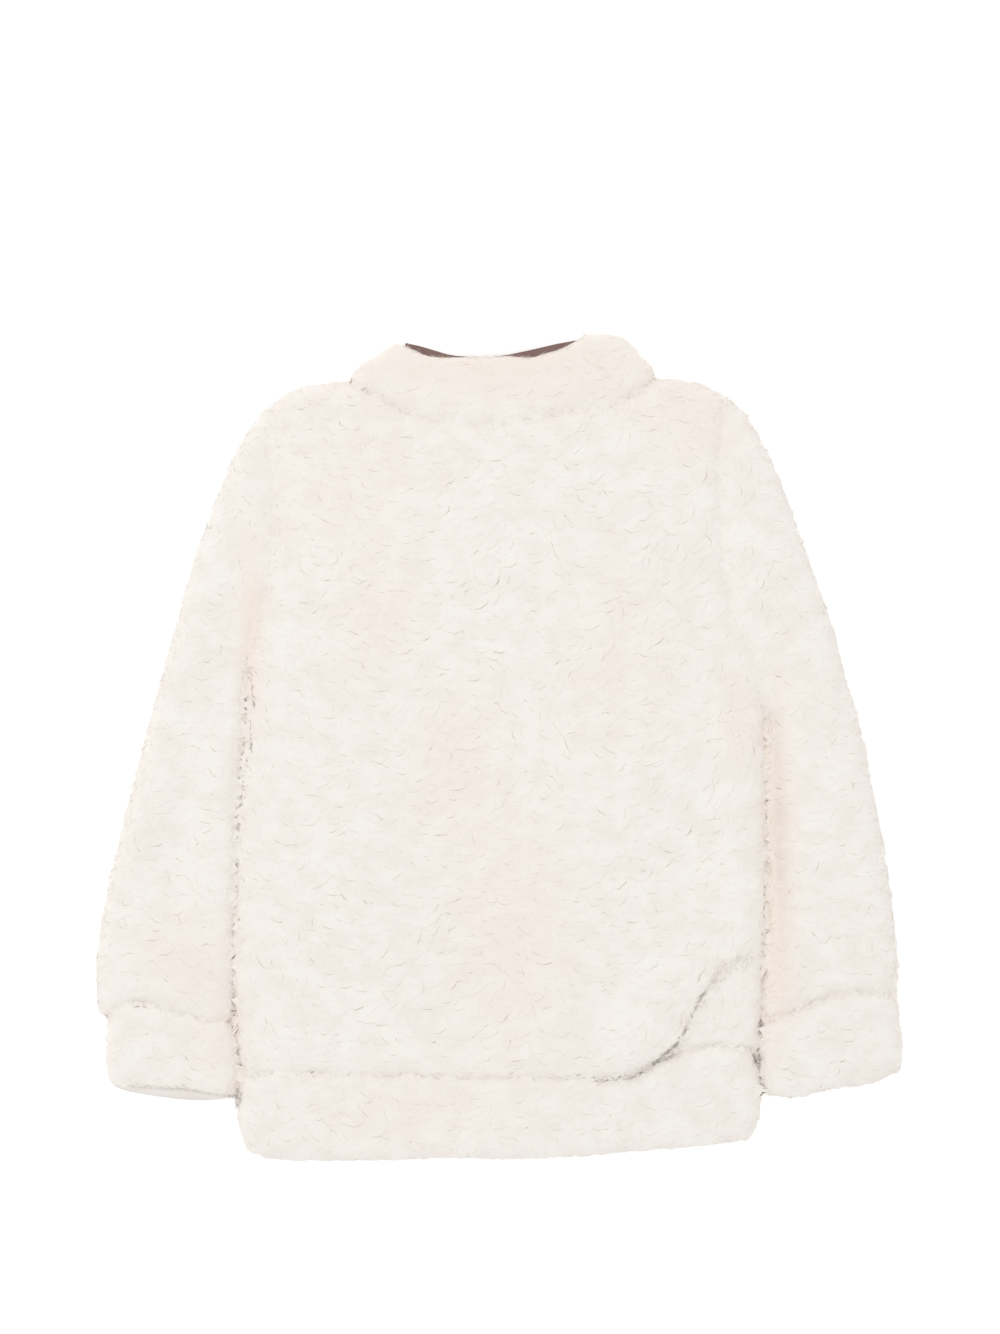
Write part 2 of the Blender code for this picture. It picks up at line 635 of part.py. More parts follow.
def make_collar():
    seam = shifted(SEAMS["neck_back"], GAP)
    edge = spread(curve(COLLAR_EDGE), NECK_STEPS, ROLL, ROLL)
    left, right = edge_from(seam[0], COLLAR_FOLD_LEFT), edge_from(seam[-1], COLLAR_FOLD_RIGHT)
    under = []
    turned_under = []
    for side, fold, front_edge, up in (
        ("left", left, COLLAR_EDGE_FRONT_LEFT, GAP),
        ("right", right, COLLAR_EDGE_FRONT_RIGHT, -GAP),
    ):
        front_seam = shifted(SEAMS["neck_" + side], up)
        front_seam[0] = fold[0]
        turned_under.append(towards_zip(curve(front_edge), FRONT_STEPS))
        zip_edge = between(front_seam[-1], turned_under[-1][-1], fold)
        under.append(beside_zip(patch(front_seam, turned_under[-1], fold, zip_edge)))
    folded = [left, right, LINES["shoulder_left"], LINES["shoulder_right"]]
    band("collar", patch(seam, edge, left, right), under, folded, [edge], turned_under, COLLAR_SLIT)


def make_neck_tape():
    """The twill tape stands inside the back of the collar and shows above its edge."""
    edge = spread(curve(NECK_TAPE_EDGE), 2 * NECK_STEPS)
    plan = np.stack([edge - (0, NECK_TAPE_HIGH), edge - (0, NECK_TAPE_HIGH / 2), edge])
    top = MID + COLLAR_SLIT - GAP
    wall("neck_tape", at_height(plan, top), at_height(plan, top - NECK_TAPE_THICK), TWILL)


def make_zip_tape(side, way):
    x = sorted((way * TAPE_IN, way * TAPE_OUT))
    plan = np.array([[(x[0], y), (x[1], y)] for y in (ZIP_BOTTOM, ZIP_TOP)], float)
    top = at_height(plan, TAPE_LOW + TAPE_THICK)
    wall("zip_tape_" + side, top, at_height(plan, TAPE_LOW), TAPE)


def combine(target, helpers, operation):
    """Cuts the helpers out of the target, or joins them to it, one after another."""
    for helper in helpers:
        helper.hide_render = True
        helper.display_type = "WIRE"
        boolean = target.modifiers.new(helper.name, "BOOLEAN")
        boolean.operation = operation
        boolean.solver = "EXACT"
        boolean.object = helper


def plate(name, outline, z):
    """A flat metal plate: the outline, raised between two heights."""
    bm = bmesh.new()
    face = bm.faces.new([bm.verts.new((x, y, z[0])) for x, y in outline])
    raised = bmesh.ops.extrude_face_region(bm, geom=[face])["geom"]
    verts = [item for item in raised if isinstance(item, bmesh.types.BMVert)]
    bmesh.ops.translate(bm, vec=(0, 0, z[1] - z[0]), verts=verts)
    bmesh.ops.recalc_face_normals(bm, faces=bm.faces)
    return add_object(name, bm, METAL)


def block(name, x, y, z):
    """A metal block between the named pairs of limits."""
    return plate(name, [(x[0], y[0]), (x[1], y[0]), (x[1], y[1]), (x[0], y[1])], z)


def wing(name, z):
    """One of the slider's two plates: wide where the teeth enter, narrower at the tail."""
    half, tail, corner = SLIDER_WIDE / 2, SLIDER_TAIL / 2, WING_CORNER
    start, end = SLIDER_Y - SLIDER_LONG / 2, SLIDER_Y + SLIDER_LONG / 2
    outline = [
        (-tail, start), (tail, start), (half, start + 2 * corner), (half, end - corner),
        (half - corner, end), (-half + corner, end), (-half, end - corner), (-half, start + 2 * corner),
    ]
    return plate(name, outline, z)


def make_slider():
    """Two plates joined by a neck between the tapes. A bridge for the pull tab is under the outer one."""
    neck_y = [SLIDER_Y + y for y in NECK_SPAN]
    neck_z = (WING_LOW[1] - SUNK, WING_HIGH[0] + SUNK)
    start, end = SLIDER_Y - BRIDGE_HALF_LONG, SLIDER_Y + BRIDGE_HALF_LONG
    across = (-BRIDGE_HALF_WIDE, BRIDGE_HALF_WIDE)
    posts = (BRIDGE_LOW + SUNK, WING_LOW[0] + SUNK)
    parts = [
        block("slider_neck", (-NECK_HALF, NECK_HALF), neck_y, neck_z),
        wing("slider_inner_wing", WING_HIGH),
        block("slider_front_post", across, (end - BRIDGE_POST, end), posts),
        block("slider_rear_post", across, (start, start + BRIDGE_POST), posts),
        block("slider_strap", across, (start, end), (BRIDGE_LOW, BRIDGE_LOW + BRIDGE_THICK)),
    ]
    combine(wing("zip_slider", WING_LOW), parts, "UNION")


def make_pull():
    """A plate with a window whose front bar turns under the slider's bridge. Its origin is on that axis."""
    half, thick, waist = PULL_WIDE / 2, PULL_THICK / 2, PULL_WAIST_WIDE / 2
    end_centre = -PULL_LONG + half
    outline = [(half, thick), (half, -PULL_SHOULDER), (waist, -PULL_WAIST)]
    for k in range(PULL_END_STEPS + 1):
        turn = math.pi * k / PULL_END_STEPS
        outline.append((half * math.cos(turn), end_centre - half * math.sin(turn)))
    outline += [(-waist, -PULL_WAIST), (-half, -PULL_SHOULDER), (-half, thick)]
    pull = plate("zip_pull", outline, (-thick, thick))
    bevel = pull.modifiers.new("soft edges", "BEVEL")
    bevel.width = PULL_SOFT_EDGE * MM
    bevel.segments = 1
    bevel.limit_method = "ANGLE"
    bevel.angle_limit = math.radians(50)
    through = (-2 * thick, 2 * thick)
    window_x = (-PULL_WINDOW_HALF, PULL_WINDOW_HALF)
    window = block("pull_window", window_x, (-thick - PULL_WINDOW_LONG, -thick), through)
    round_edge = []
    for k in range(PULL_HOLE_STEPS):
        turn = 2 * math.pi * k / PULL_HOLE_STEPS
        round_edge.append((PULL_HOLE_R * math.cos(turn), end_centre + PULL_HOLE_R * math.sin(turn)))
    hole = plate("pull_hole", round_edge, through)
    combine(pull, [window, hole], "DIFFERENCE")
    for obj in (pull, window, hole):
        obj.location = (0, SLIDER_Y * MM, PULL_Z * MM)


def centre_on_origin():
    """Moves everything so that the origin is under the middle of the garment's box."""
    bpy.context.view_layer.update()
    shown = [obj for obj in bpy.data.objects if not obj.hide_render]
    points = [obj.matrix_world @ v.co for obj in shown for v in obj.data.vertices]
    x, y = ((min(p[k] for p in points) + max(p[k] for p in points)) / 2 for k in (0, 1))
    for obj in bpy.data.objects:
        obj.location.x -= x
        obj.location.y -= y


def main():
    for obj in list(bpy.data.objects):
        bpy.data.objects.remove(obj)
    make_back()
    make_front("left")
    make_front("right")
    make_sleeve("left", -1)
    make_sleeve("right", 1)
    make_cuff("left", -1, CUFF_OUTER_LEFT, CUFF_INNER_LEFT, CUFF_EDGE_LEFT, CUFF_EDGE_LEFT_UNDER)
    make_cuff("right", 1, CUFF_OUTER_RIGHT, CUFF_INNER_RIGHT, CUFF_EDGE_RIGHT, CUFF_EDGE_RIGHT_UNDER)
    make_hem_band()
    make_collar()
    make_neck_tape()
    make_zip_tape("left", -1)
    make_zip_tape("right", 1)
    make_slider()
    make_pull()
    centre_on_origin()


main()
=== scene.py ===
# %% [markdown]
# # A child's zip-up sweatshirt in long-pile fleece
#
# The garment lies flat on its front with its back up. Its cloth is a knitted ground with a deep,
# soft pile, brushed into small curls that lie on each other like roof tiles. From above one sees
# pale cream, with thin curved shadows where one curl ends and the next begins.
#
# The CAD solids give every panel its true outline and thickness. This script dresses them: a fine
# skin with real curls on each panel, loose fibres on top, a twill tape in the neck and a zip.
#
# Everything is in metres, so a size in mm is written as 5 * MM. One random generator with a fixed
# seed places the pile, so that each run gives the same garment.

# %% Load the frame
import math

import bpy
import numpy as np
from mathutils.bvhtree import BVHTree
from mathutils.kdtree import KDTree
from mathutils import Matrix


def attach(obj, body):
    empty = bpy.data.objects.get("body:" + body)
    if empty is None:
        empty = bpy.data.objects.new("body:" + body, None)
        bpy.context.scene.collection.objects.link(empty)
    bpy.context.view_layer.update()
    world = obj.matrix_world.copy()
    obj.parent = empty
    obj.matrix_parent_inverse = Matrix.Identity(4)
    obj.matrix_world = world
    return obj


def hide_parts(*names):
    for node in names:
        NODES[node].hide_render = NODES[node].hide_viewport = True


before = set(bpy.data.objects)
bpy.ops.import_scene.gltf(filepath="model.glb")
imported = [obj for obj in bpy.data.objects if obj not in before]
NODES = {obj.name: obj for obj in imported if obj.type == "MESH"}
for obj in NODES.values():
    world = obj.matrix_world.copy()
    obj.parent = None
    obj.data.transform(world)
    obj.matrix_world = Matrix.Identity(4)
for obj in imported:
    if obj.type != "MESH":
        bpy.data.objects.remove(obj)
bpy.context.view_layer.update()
MM = 0.001
random = np.random.default_rng(26)
print("nodes:", ", ".join(sorted(NODES)))

# %% [markdown]
# ## Camera
#
# The photo looks straight down. One of its pixels is 0.65 mm of cloth, so the frame of 1000 by
# 1334 pixels is 650 by 867 mm at the height where the two layers meet. A long lens from far away
# keeps the edges from leaning.

# %% Camera
PIXEL = 0.65 * MM
FRAME_HIGH = 1334 * PIXEL
FRAME_MIDDLE = (0.43 * MM, 51.98 * MM)
CAMERA_HIGH = 2.6
SENSOR = 36  # mm
MID = 9.15 * MM  # height at which the two layers meet

camera_data = bpy.data.cameras.new("camera")
camera_data.sensor_fit = "VERTICAL"
camera_data.sensor_height = SENSOR
camera_data.lens = SENSOR * (CAMERA_HIGH - MID) / FRAME_HIGH
camera_data.clip_end = 20
camera = bpy.data.objects.new("camera", camera_data)
camera.location = (*FRAME_MIDDLE, CAMERA_HIGH)
bpy.context.scene.collection.objects.link(camera)
bpy.context.scene.camera = camera
print("lens:", round(camera_data.lens, 1), "mm")

# %% [markdown]
# ## Shader arithmetic
#
# A shader graph is a sum done with wires. Each node could be added and linked in a line of its own,
# but then the sum can't be read any more. Two small classes let us write it as a sum again:
# `Shader` adds any node, and `Value` stands for one of its outputs, so that `1 - mask * 0.5`
# adds the Math nodes by itself.

# %% Shader helpers
class Value:
    """One output of a node. Arithmetic on it adds Math nodes."""

    def __init__(self, shader, socket):
        self.shader = shader
        self.socket = socket

    def math(self, operation, first, second=0.0):
        return self.shader.add("ShaderNodeMath", {"operation": operation}, {0: first, 1: second})

    def __add__(self, other):
        return self.math("ADD", self, other)

    def __sub__(self, other):
        return self.math("SUBTRACT", self, other)

    def __rsub__(self, other):
        return self.math("SUBTRACT", other, self)

    def __mul__(self, other):
        return self.math("MULTIPLY", self, other)

    def sine(self):
        return self.math("SINE", self)

    def between(self, low, high):
        """0 below low, 1 above high and a smooth rise from one to the other."""
        limits = {"Value": self, "From Min": low, "From Max": high}
        return self.shader.add("ShaderNodeMapRange", {"interpolation_type": "SMOOTHSTEP"}, limits)


class Shader:
    """A material whose nodes are added one at a time."""

    def __init__(self, name, **constants):
        self.material = bpy.data.materials.new(name)
        self.material.use_nodes = True
        self.tree = self.material.node_tree
        self.surface = self.tree.nodes["Principled BSDF"]
        for socket, value in constants.items():
            self.surface.inputs[socket.replace("_", " ")].default_value = value

    def add(self, kind, settings=None, inputs=None, output=0):
        """A node of that kind, with its settings set first and then its sockets filled or linked."""
        node = self.tree.nodes.new(kind)
        for name, value in (settings or {}).items():
            setattr(node, name, value)
        for key, value in (inputs or {}).items():
            if isinstance(value, Value):
                self.tree.links.new(value.socket, node.inputs[key])
            else:
                node.inputs[key].default_value = value
        return Value(self, node.outputs[output])

    def feed(self, **sockets):
        """Links values to the surface shader's own sockets."""
        for name, value in sockets.items():
            self.tree.links.new(value.socket, self.surface.inputs[name.replace("_", " ")])

    def place(self, *size, turn=0.0):
        """The point on the piece, counted in steps of the given size in mm, along axes turned about Z."""
        numbers = {
            "Vector": self.add("ShaderNodeTexCoord", output="Object"),
            "Rotation": (0, 0, turn),
            "Scale": [step * MM for step in size],
        }
        return self.add("ShaderNodeMapping", {"vector_type": "TEXTURE"}, numbers)

    def ribs(self, vector, axis):
        """A sine wave along one axis of the vector, one for each step, from 0 to 1."""
        along = self.add("ShaderNodeSeparateXYZ", {}, {"Vector": vector}, output=axis)
        return (along * math.tau).sine() * 0.5 + 0.5

    def attribute(self, name):
        return self.add("ShaderNodeAttribute", {"attribute_name": name}, output="Fac")

    def noise(self, vector, detail=2.0, distortion=0.0):
        """Soft uneven values, mostly between 0.3 and 0.7, that change once in each step of the vector."""
        numbers = {"Vector": vector, "Scale": 1.0, "Detail": detail, "Distortion": distortion}
        return self.add("ShaderNodeTexNoise", {}, numbers)

    def mix(self, share, first, second):
        """A colour between two others."""
        return self.add("ShaderNodeMix", {"data_type": "RGBA"}, {0: share, 6: first, 7: second}, output=2)

    def bump(self, height, strength, distance):
        """A normal tilted as if the surface rose by the height, times the distance."""
        return self.add("ShaderNodeBump", {}, {"Strength": strength, "Distance": distance, "Height": height})


def linear(*code):
    """A screen colour, 0 to 255, as the linear colour that a shader wants."""
    share = np.array(code) / 255
    return (*np.where(share <= 0.04045, share / 12.92, ((share + 0.055) / 1.055) ** 2.4), 1.0)


print("half a screen's brightness, 128 of 255, is", round(linear(128)[0], 3), "of its light")

# %% [markdown]
# ## Fleece
#
# The pile is undyed cream. Under the lip of a curl, in a crease and along a seam, painted shade
# makes it a warmer, darker tone of the same cream. A faint rose is partly rose patches of the
# cloth and partly painted shade in the valleys, with a warmer tone on the collar. Real curls carry
# the larger forms. The shader adds what is finer: the grain of the fibres and slow drifts of tone.
# How much painted shade and rose a place gets comes with the mesh, as one number a point each,
# because only the step that places the curls knows it.

# %% Fleece material
CREAM = linear(251, 247, 241)
SHADE = linear(248, 241, 235)
PAINTED_SHADE_TONE = linear(192, 177, 163)
DEEP_SHADOW_TONE = linear(168, 149, 139)  # painted shadow tone of the hairs in the bottom of a crease
# rose patches of the cloth, painted shade in the valleys, and a warmer tone on the collar
ROSE_TONE_AND_SHADE = linear(249, 237, 227)
LIP_SHADOW = 4.0  # strength of the painted shadow under the strongest curls' lips
DARKEST_SHADOW_HAIR = 10.0  # the painted shadow's number on the darkest hairs


def fleece_material():
    fleece = Shader("fleece", Roughness=0.95, Sheen_Weight=0.12, Sheen_Roughness=0.6)
    fleece.surface.inputs["Specular IOR Level"].default_value = 0.1
    grain = fleece.noise(fleece.place(0.7, 1.6, 0.9), detail=3.0, distortion=1.2)
    slow = fleece.noise(fleece.place(15, 12, 14)).between(0.3, 0.7)
    painted_shade = fleece.attribute("painted_shade")
    rose_and_shade = fleece.attribute("rose_and_shade")
    base = fleece.mix(rose_and_shade, fleece.mix(slow, CREAM, SHADE), ROSE_TONE_AND_SHADE)
    # painted shade from the mesh, with the grain's random tone
    depth = painted_shade * 0.7 + (0.5 - grain) * 0.12
    tone = fleece.mix(depth.between(-0.1, 1.0), base, PAINTED_SHADE_TONE)
    fleece.feed(Base_Color=fleece.mix(painted_shade.between(LIP_SHADOW, DARKEST_SHADOW_HAIR), tone, DEEP_SHADOW_TONE))
    fleece.feed(Normal=fleece.bump(grain, 0.14, 0.6 * MM))
    return fleece.material


FLEECE = fleece_material()
print("fleece:", len(FLEECE.node_tree.nodes), "nodes")

# %% [markdown]
# ## Picking parts of a mesh
#
# By hand one clicks on the points to move. A script picks them by their place, such as all those
# above the middle, and then calls the same operators that the menus do. An operator acts on all
# that is selected, so everything is deselected first.

# %% Editing helpers
def activate(obj):
    if bpy.context.object and bpy.context.object.mode == "EDIT":
        bpy.ops.object.mode_set(mode="OBJECT")
    bpy.ops.object.select_all(action="DESELECT")
    obj.select_set(True)
    bpy.context.view_layer.objects.active = obj


def field(data, name, width, kind=float):
    """One column of a mesh's data, such as its points, as an array."""
    values = np.empty(len(data) * width, dtype=kind)
    data.foreach_get(name, values)
    return values.reshape(-1, width) if width > 1 else values


def select(mesh, kind, chosen):
    """Selects the chosen vertices, edges or polygons and nothing else, for the next operator."""
    for data in (mesh.vertices, mesh.edges, mesh.polygons):
        data.foreach_set("select", np.zeros(len(data), dtype=bool))
    getattr(mesh, kind).foreach_set("select", chosen)


def edit(obj, kind="VERT"):
    activate(obj)
    bpy.ops.object.mode_set(mode="EDIT")
    bpy.ops.mesh.select_mode(type=kind)


def edit_where(obj, test):
    """Opens the object for editing with the points selected for which the test holds."""
    edit(obj)
    bpy.ops.object.mode_set(mode="OBJECT")
    select(obj.data, "vertices", test(field(obj.data.vertices, "co", 3)))
    bpy.ops.object.mode_set(mode="EDIT")


def shape_of(obj):
    """The points and triangles of a shape. Its object is then no longer needed."""
    bpy.ops.object.mode_set(mode="OBJECT")
    obj.data.calc_loop_triangles()
    points = field(obj.data.vertices, "co", 3)
    faces = field(obj.data.loop_triangles, "vertices", 3, np.int32)
    bpy.data.objects.remove(obj)
    return points, faces


back_points = field(NODES["back"].data.vertices, "co", 3)
print("highest point of the back:", round(back_points[:, 2].max() / MM, 1), "mm")

# %% [markdown]
# ## Small shapes, modelled once
#
# A curl is a flat cap: low at its root, where the one above covers it, and highest at its free
# lip. A fibre is a thin spike with one joint where it can bend. Both are modelled here at unit
# size, with few faces, because thousands of copies are then placed on the cloth. Particle hair
# would be quicker to set up, but it is no mesh, and a mesh is what can be kept and measured.

# %% Model the curl and the fibre
FOOT = 1.16  # how much wider a curl is at its foot
LIP_TILT = -0.56  # radians by which its top leans up towards the lip
LIP_AT = math.pi / 2  # direction of the lip in a curl's own plan


def central(points):
    return np.hypot(points[:, 0], points[:, 1]) < 0.5


def model_curl():
    bpy.ops.mesh.primitive_cylinder_add(vertices=8, radius=1, depth=1, end_fill_type="TRIFAN")
    curl = bpy.context.object
    edit_where(curl, lambda points: central(points) & (points[:, 2] < 0))
    bpy.ops.mesh.dissolve_verts()
    edit_where(curl, lambda points: points[:, 2] > 0)
    bpy.ops.transform.translate(value=(0, 0, -0.35))
    bpy.ops.transform.rotate(value=LIP_TILT, orient_axis="X", center_override=(0, 0, 0.15))
    edit_where(curl, lambda points: central(points) & (points[:, 2] > 0))
    bpy.ops.transform.translate(value=(0, 0.1, 0.15))
    edit_where(curl, lambda points: points[:, 2] < -0.499)
    bpy.ops.transform.resize(value=(FOOT, FOOT, 1), center_override=(0, 0, 0))
    bpy.ops.transform.translate(value=(0, 0, -0.5))
    return shape_of(curl)


def model_fibre():
    bpy.ops.mesh.primitive_cone_add(vertices=3, radius1=0.5, radius2=0, depth=1, location=(0, 0, 0.5))
    fibre = bpy.context.object
    bpy.ops.object.transform_apply(location=True)
    edit(fibre)
    bpy.ops.mesh.select_all(action="SELECT")
    bpy.ops.mesh.bisect(plane_co=(0, 0, 0.5), plane_no=(0, 0, 1))
    return shape_of(fibre)


CURL = model_curl()
SPIKE = model_fibre()
low, high = CURL[0].min(axis=0), CURL[0].max(axis=0)
print("curl:", len(CURL[1]), "triangles from", low.round(2), "to", high.round(2))
print("fibre:", len(SPIKE[1]), "triangles")

# %% [markdown]
# ## Copies in one mesh
#
# Linked duplicates would be one object each, tens of thousands of them. Here all the copies of a
# shape on one panel are one mesh, built in one go from arrays. A copy is given by its root and
# three axes, whose lengths are its size. A fibre's copy is bent as well: each point moves aside by
# the square of its height. Nothing goes below the floor.

# %% Copying
def remember(mesh, name, values):
    """Keeps one number a point, for the shader to read."""
    mesh.attributes.new(name, "FLOAT", "POINT").data.foreach_set("value", values.astype(np.float32))


def mesh_object(name, points, faces, material):
    """A new object with its mesh given as arrays of points and triangles."""
    mesh = bpy.data.meshes.new(name)
    mesh.vertices.add(len(points))
    mesh.vertices.foreach_set("co", points.ravel())
    mesh.loops.add(len(faces) * 3)
    mesh.loops.foreach_set("vertex_index", faces.ravel())
    mesh.polygons.add(len(faces))
    mesh.polygons.foreach_set("loop_start", np.arange(len(faces)) * 3)
    mesh.update(calc_edges=True)
    mesh.shade_smooth()
    mesh.materials.append(material)
    obj = bpy.data.objects.new(name, mesh)
    bpy.context.scene.collection.objects.link(obj)
    return obj


def copied(shape, roots, axes, bend=0.0):
    """The points and faces of all the copies, one for each root with its three axes."""
    points, faces = shape
    placed = roots[:, None] + np.einsum("kc,ncd->nkd", points, axes)
    placed += points[None, :, 2:] ** 2 * bend
    all_faces = faces[None] + len(points) * np.arange(len(roots))[:, None, None]
    return placed.reshape(-1, 3), all_faces.reshape(-1, 3)


def above_floor(points, clear):
    points[:, 2] = np.maximum(points[:, 2], clear)
    return points


PILE_CLEAR = 0.05 * MM  # how far off the floor the pile's tips stay
SKIN_CLEAR = 0.6 * MM  # how far off it the skins stay, with the pile between
two_curls = copied(CURL, np.zeros((2, 3)), np.tile(np.eye(3), (2, 1, 1)))
print("two curls in one mesh:", len(two_curls[0]), "points and", len(two_curls[1]), "faces")

# %% [markdown]
# ## Creases and tints
#
# The solids already have the broad folds. A few sharp ones are set here, from the same plan: the
# fold where the body hangs over the hem band, the valley down the right sleeve, and the gaps
# beside the body where the sleeves press on it. The faint rose is read the same way: rose patches
# of the cloth, painted shade in the valleys beside the body and down the right sleeve, and a
# warmer tone on the collar.
# Sculpting could do this by hand. A table of lines can be read, checked and changed instead.

# %% Creases and tints
# Columns: x0, y0, x1, y1, half width and depth in mm, and dark hairs of painted shadow for each mm
CREASES = [
    (39, -215.4, 51, -212.7, 0.9, 0.15, 0.4),
    (61, -216, 84.5, -214.7, 0.9, 0.2, 0.45),
    (84.5, -214.7, 90, -212.1, 0.8, 0.4, 0.9),
    (90, -212.1, 96.5, -208.1, 0.8, 0.28, 1.2),
    (96.5, -208.1, 104, -201.5, 0.8, 0.28, 1.2),
    (104, -201.5, 113.7, -193.5, 0.8, 0.28, 1.2),
    (113.7, -193.5, 119, -185.5, 0.9, 0.6, 1.1),
    (119, -185.5, 124.3, -175.6, 0.9, 0.6, 0.9),
    (124.3, -175.6, 131, -161, 1.0, 0.6, 0.7),
    (131, -161, 135, -157.5, 1.2, 0.5, 0.5),
    (135, -157.5, 143, -144, 1.6, 0.4, 0.0),
    (143, -144, 158, -136, 2.0, 0.3, 0.0),
    (164.6, -199.5, 167, -205, 0.8, 0.35, 3.2),
    (-240, -221.5, -205, -225.5, 1.5, 1.0, 0.3),
    (-205, -225.5, -172, -227, 1.5, 1.1, 0.3),
    (179, 20, 182, -40, 4.6, 0.44, 0.0),
    (182, -40, 183, -85, 4.6, 0.56, 0.0),
    (183, -85, 184, -105, 4.4, 0.36, 0.0),
    (184, -105, 184.5, -130, 4.2, 0.18, 0.0),
    (172.7, -86, 169, -158, 0.8, 0.1, 0.35),
    (169.3, -178, 169.6, -183, 0.8, 0.2, 1.2),
    (169.6, -214, 169.8, -219, 0.8, 0.2, 0.8),
    (-162.7, 57, -160.5, 38, 1.0, 0.1, 0.6),
    (-160.5, 38, -158.9, 26, 0.9, 0.1, 0.8),
    (-162.2, 19, -160.6, -3, 0.9, 0.1, 0.7),
    (-164, -9, -164.3, -16, 0.9, 0.1, 0.8),
    (-166, -20, -166.8, -28, 0.9, 0.1, 0.7),
    (-166.8, -40, -166.4, -46, 0.9, 0.1, 0.8),
    (-170, -61, -171, -68, 0.9, 0.1, 0.4),
    (-171.2, -177, -169, -200, 0.9, 0.1, 0.2),
    (-169, -200, -167.5, -229, 0.9, 0.1, 0.3),
    (-237.5, -167.2, -218, -169, 0.8, 0.1, 0.5),
]
# Rose patches of the cloth, painted shade in the valleys beside the body and down the right sleeve, and a
# warmer tone on the collar
# Columns in mm: x, y, reach across, reach along, strength
ROSE_AND_SHADE_SPOTS = [
    (-30, -10, 28, 46, 0.45),
    (10, -120, 36, 72, 0.48),
    (155, 18, 14, 28, 0.5),
    (-78, 89, 26, 32, 0.4),
    (124, 212, 32, 26, 0.45),
    (-161, 75, 8, 50, 0.9),
    (-202, -138, 28, 26, 0.45),
    (-180, -190, 16, 30, 0.4),
    (181, -60, 9, 90, 1.0),
    (182, -150, 8, 40, 0.6),
    (-95, 170, 50, 40, 0.25),
    (80, 60, 40, 60, 0.25),
    (-60, -235, 60, 22, 0.3),
    (0, 250, 120, 26, 0.6),
]
print("creases:", len(CREASES), "- rose patches:", len(ROSE_AND_SHADE_SPOTS))

# %% [markdown]
# ## How deep, and how much rose and painted shade
#
# Each crease is a line with a soft trough on both sides, and each patch a soft spot. A bell curve,
# 1 in the middle and falling to 0, gives both. Any point of the cloth can then be asked how deep
# it is, and how much rose and painted shade it gets.

# %% Depth of the creases, strength of the rose tone and painted shade
CREASE_SHARP = 2.0  # largest half width, in mm, of a crease beside which the skin is made fine
CREASE_BESIDE = 3.0  # how many half widths from such a crease that is
CREASE_FELT = 0.15 * MM  # the depth that counts as beside one
CREASE_DARKEST = 1.7 * MM  # depth of a crease whose painted shade is full


def crease_depth(points, widen=1.0, widest=math.inf):
    """Depth of the creases below the smooth skin, of all or of those with a small half width only."""
    plan = points[:, :2] / MM
    depth = np.zeros(len(points))
    for x0, y0, x1, y1, half, deep, _ in CREASES:
        if half > widest:
            continue
        start, way = np.array((x0, y0)), np.array((x1 - x0, y1 - y0))
        share = np.clip(((plan - start) @ way) / (way @ way), 0, 1)
        away = np.linalg.norm(plan - start - share[:, None] * way, axis=1)
        depth = np.maximum(depth, deep * MM * np.exp(-((away / half / widen) ** 2)))
    return depth


def beside_crease(points):
    return crease_depth(points, CREASE_BESIDE, CREASE_SHARP) > CREASE_FELT


# How much rose tone and painted shade a place gets
def rose_and_shade_strength(points):
    plan = points[:, :2] / MM
    total = np.zeros(len(points))
    for x, y, across, along, strength in ROSE_AND_SHADE_SPOTS:
        total += strength * np.exp(-(((plan[:, 0] - x) / across) ** 2) - ((plan[:, 1] - y) / along) ** 2)
    return np.clip(total, 0, 1)


valley = np.array([(183 * MM, -85 * MM, 0)])
print("down the right sleeve's valley:", round(crease_depth(valley)[0] / MM, 2), "mm deep, tint",
      round(rose_and_shade_strength(valley)[0], 2))

# %% [markdown]
# ## Which faces show
#
# Only the outside of the garment needs fine cloth. The faces where the two layers look at each
# other don't show, and neither do the walls where two panels meet at a seam. A short ray from the
# middle of each face finds those: it hits the next panel at once.

# %% Faces that show
CLOTH = [
    "back", "front_left", "front_right", "sleeve_left", "sleeve_right", "cuff_left", "cuff_right",
    "hem_band", "collar",
]
NEIGHBOUR = 2.5 * MM  # a face is hidden if other cloth is nearer than this in front of it
LEVEL_ENOUGH = 0.3  # a face with more of its normal upright than this can lie between the layers
NUDGE = 0.02 * MM  # a distance too small to see


def corners_of(mesh):
    return field(mesh.loops, "vertex_index", 1, np.int32).reshape(-1, 3)


def outside_faces(mesh):
    """True for all faces but those between the two layers, which look at each other."""
    points = field(mesh.vertices, "co", 3)
    normal_z = field(mesh.polygons, "normal", 3)[:, 2]
    height = points[corners_of(mesh)][:, :, 2]
    looks_down_inside = (normal_z < -LEVEL_ENOUGH) & (height.min(axis=1) > MID - NUDGE)
    looks_up_inside = (normal_z > LEVEL_ENOUGH) & (height.max(axis=1) < MID + NUDGE)
    return ~(looks_down_inside | looks_up_inside)


def search_tree(meshes):
    """Several meshes, each with the faces to take from it, as one search tree."""
    points, faces, count = [], [], 0
    for mesh, chosen in meshes:
        points.append(field(mesh.vertices, "co", 3))
        faces.append(corners_of(mesh)[chosen] + count)
        count += len(points[-1])
    return BVHTree.FromPolygons(np.vstack(points).tolist(), np.vstack(faces).tolist())


SOLIDS = search_tree((NODES[node].data, slice(None)) for node in CLOTH)


def showing_faces(mesh):
    """True for the outside faces with no cloth close in front of them, as a seam's walls have."""
    shows = outside_faces(mesh)
    centres = field(mesh.polygons, "center", 3)
    normals = field(mesh.polygons, "normal", 3)
    for index in np.flatnonzero(shows):
        start = centres[index] + normals[index] * NUDGE
        if SOLIDS.ray_cast(start, normals[index], NEIGHBOUR)[0] is not None:
            shows[index] = False
    return shows


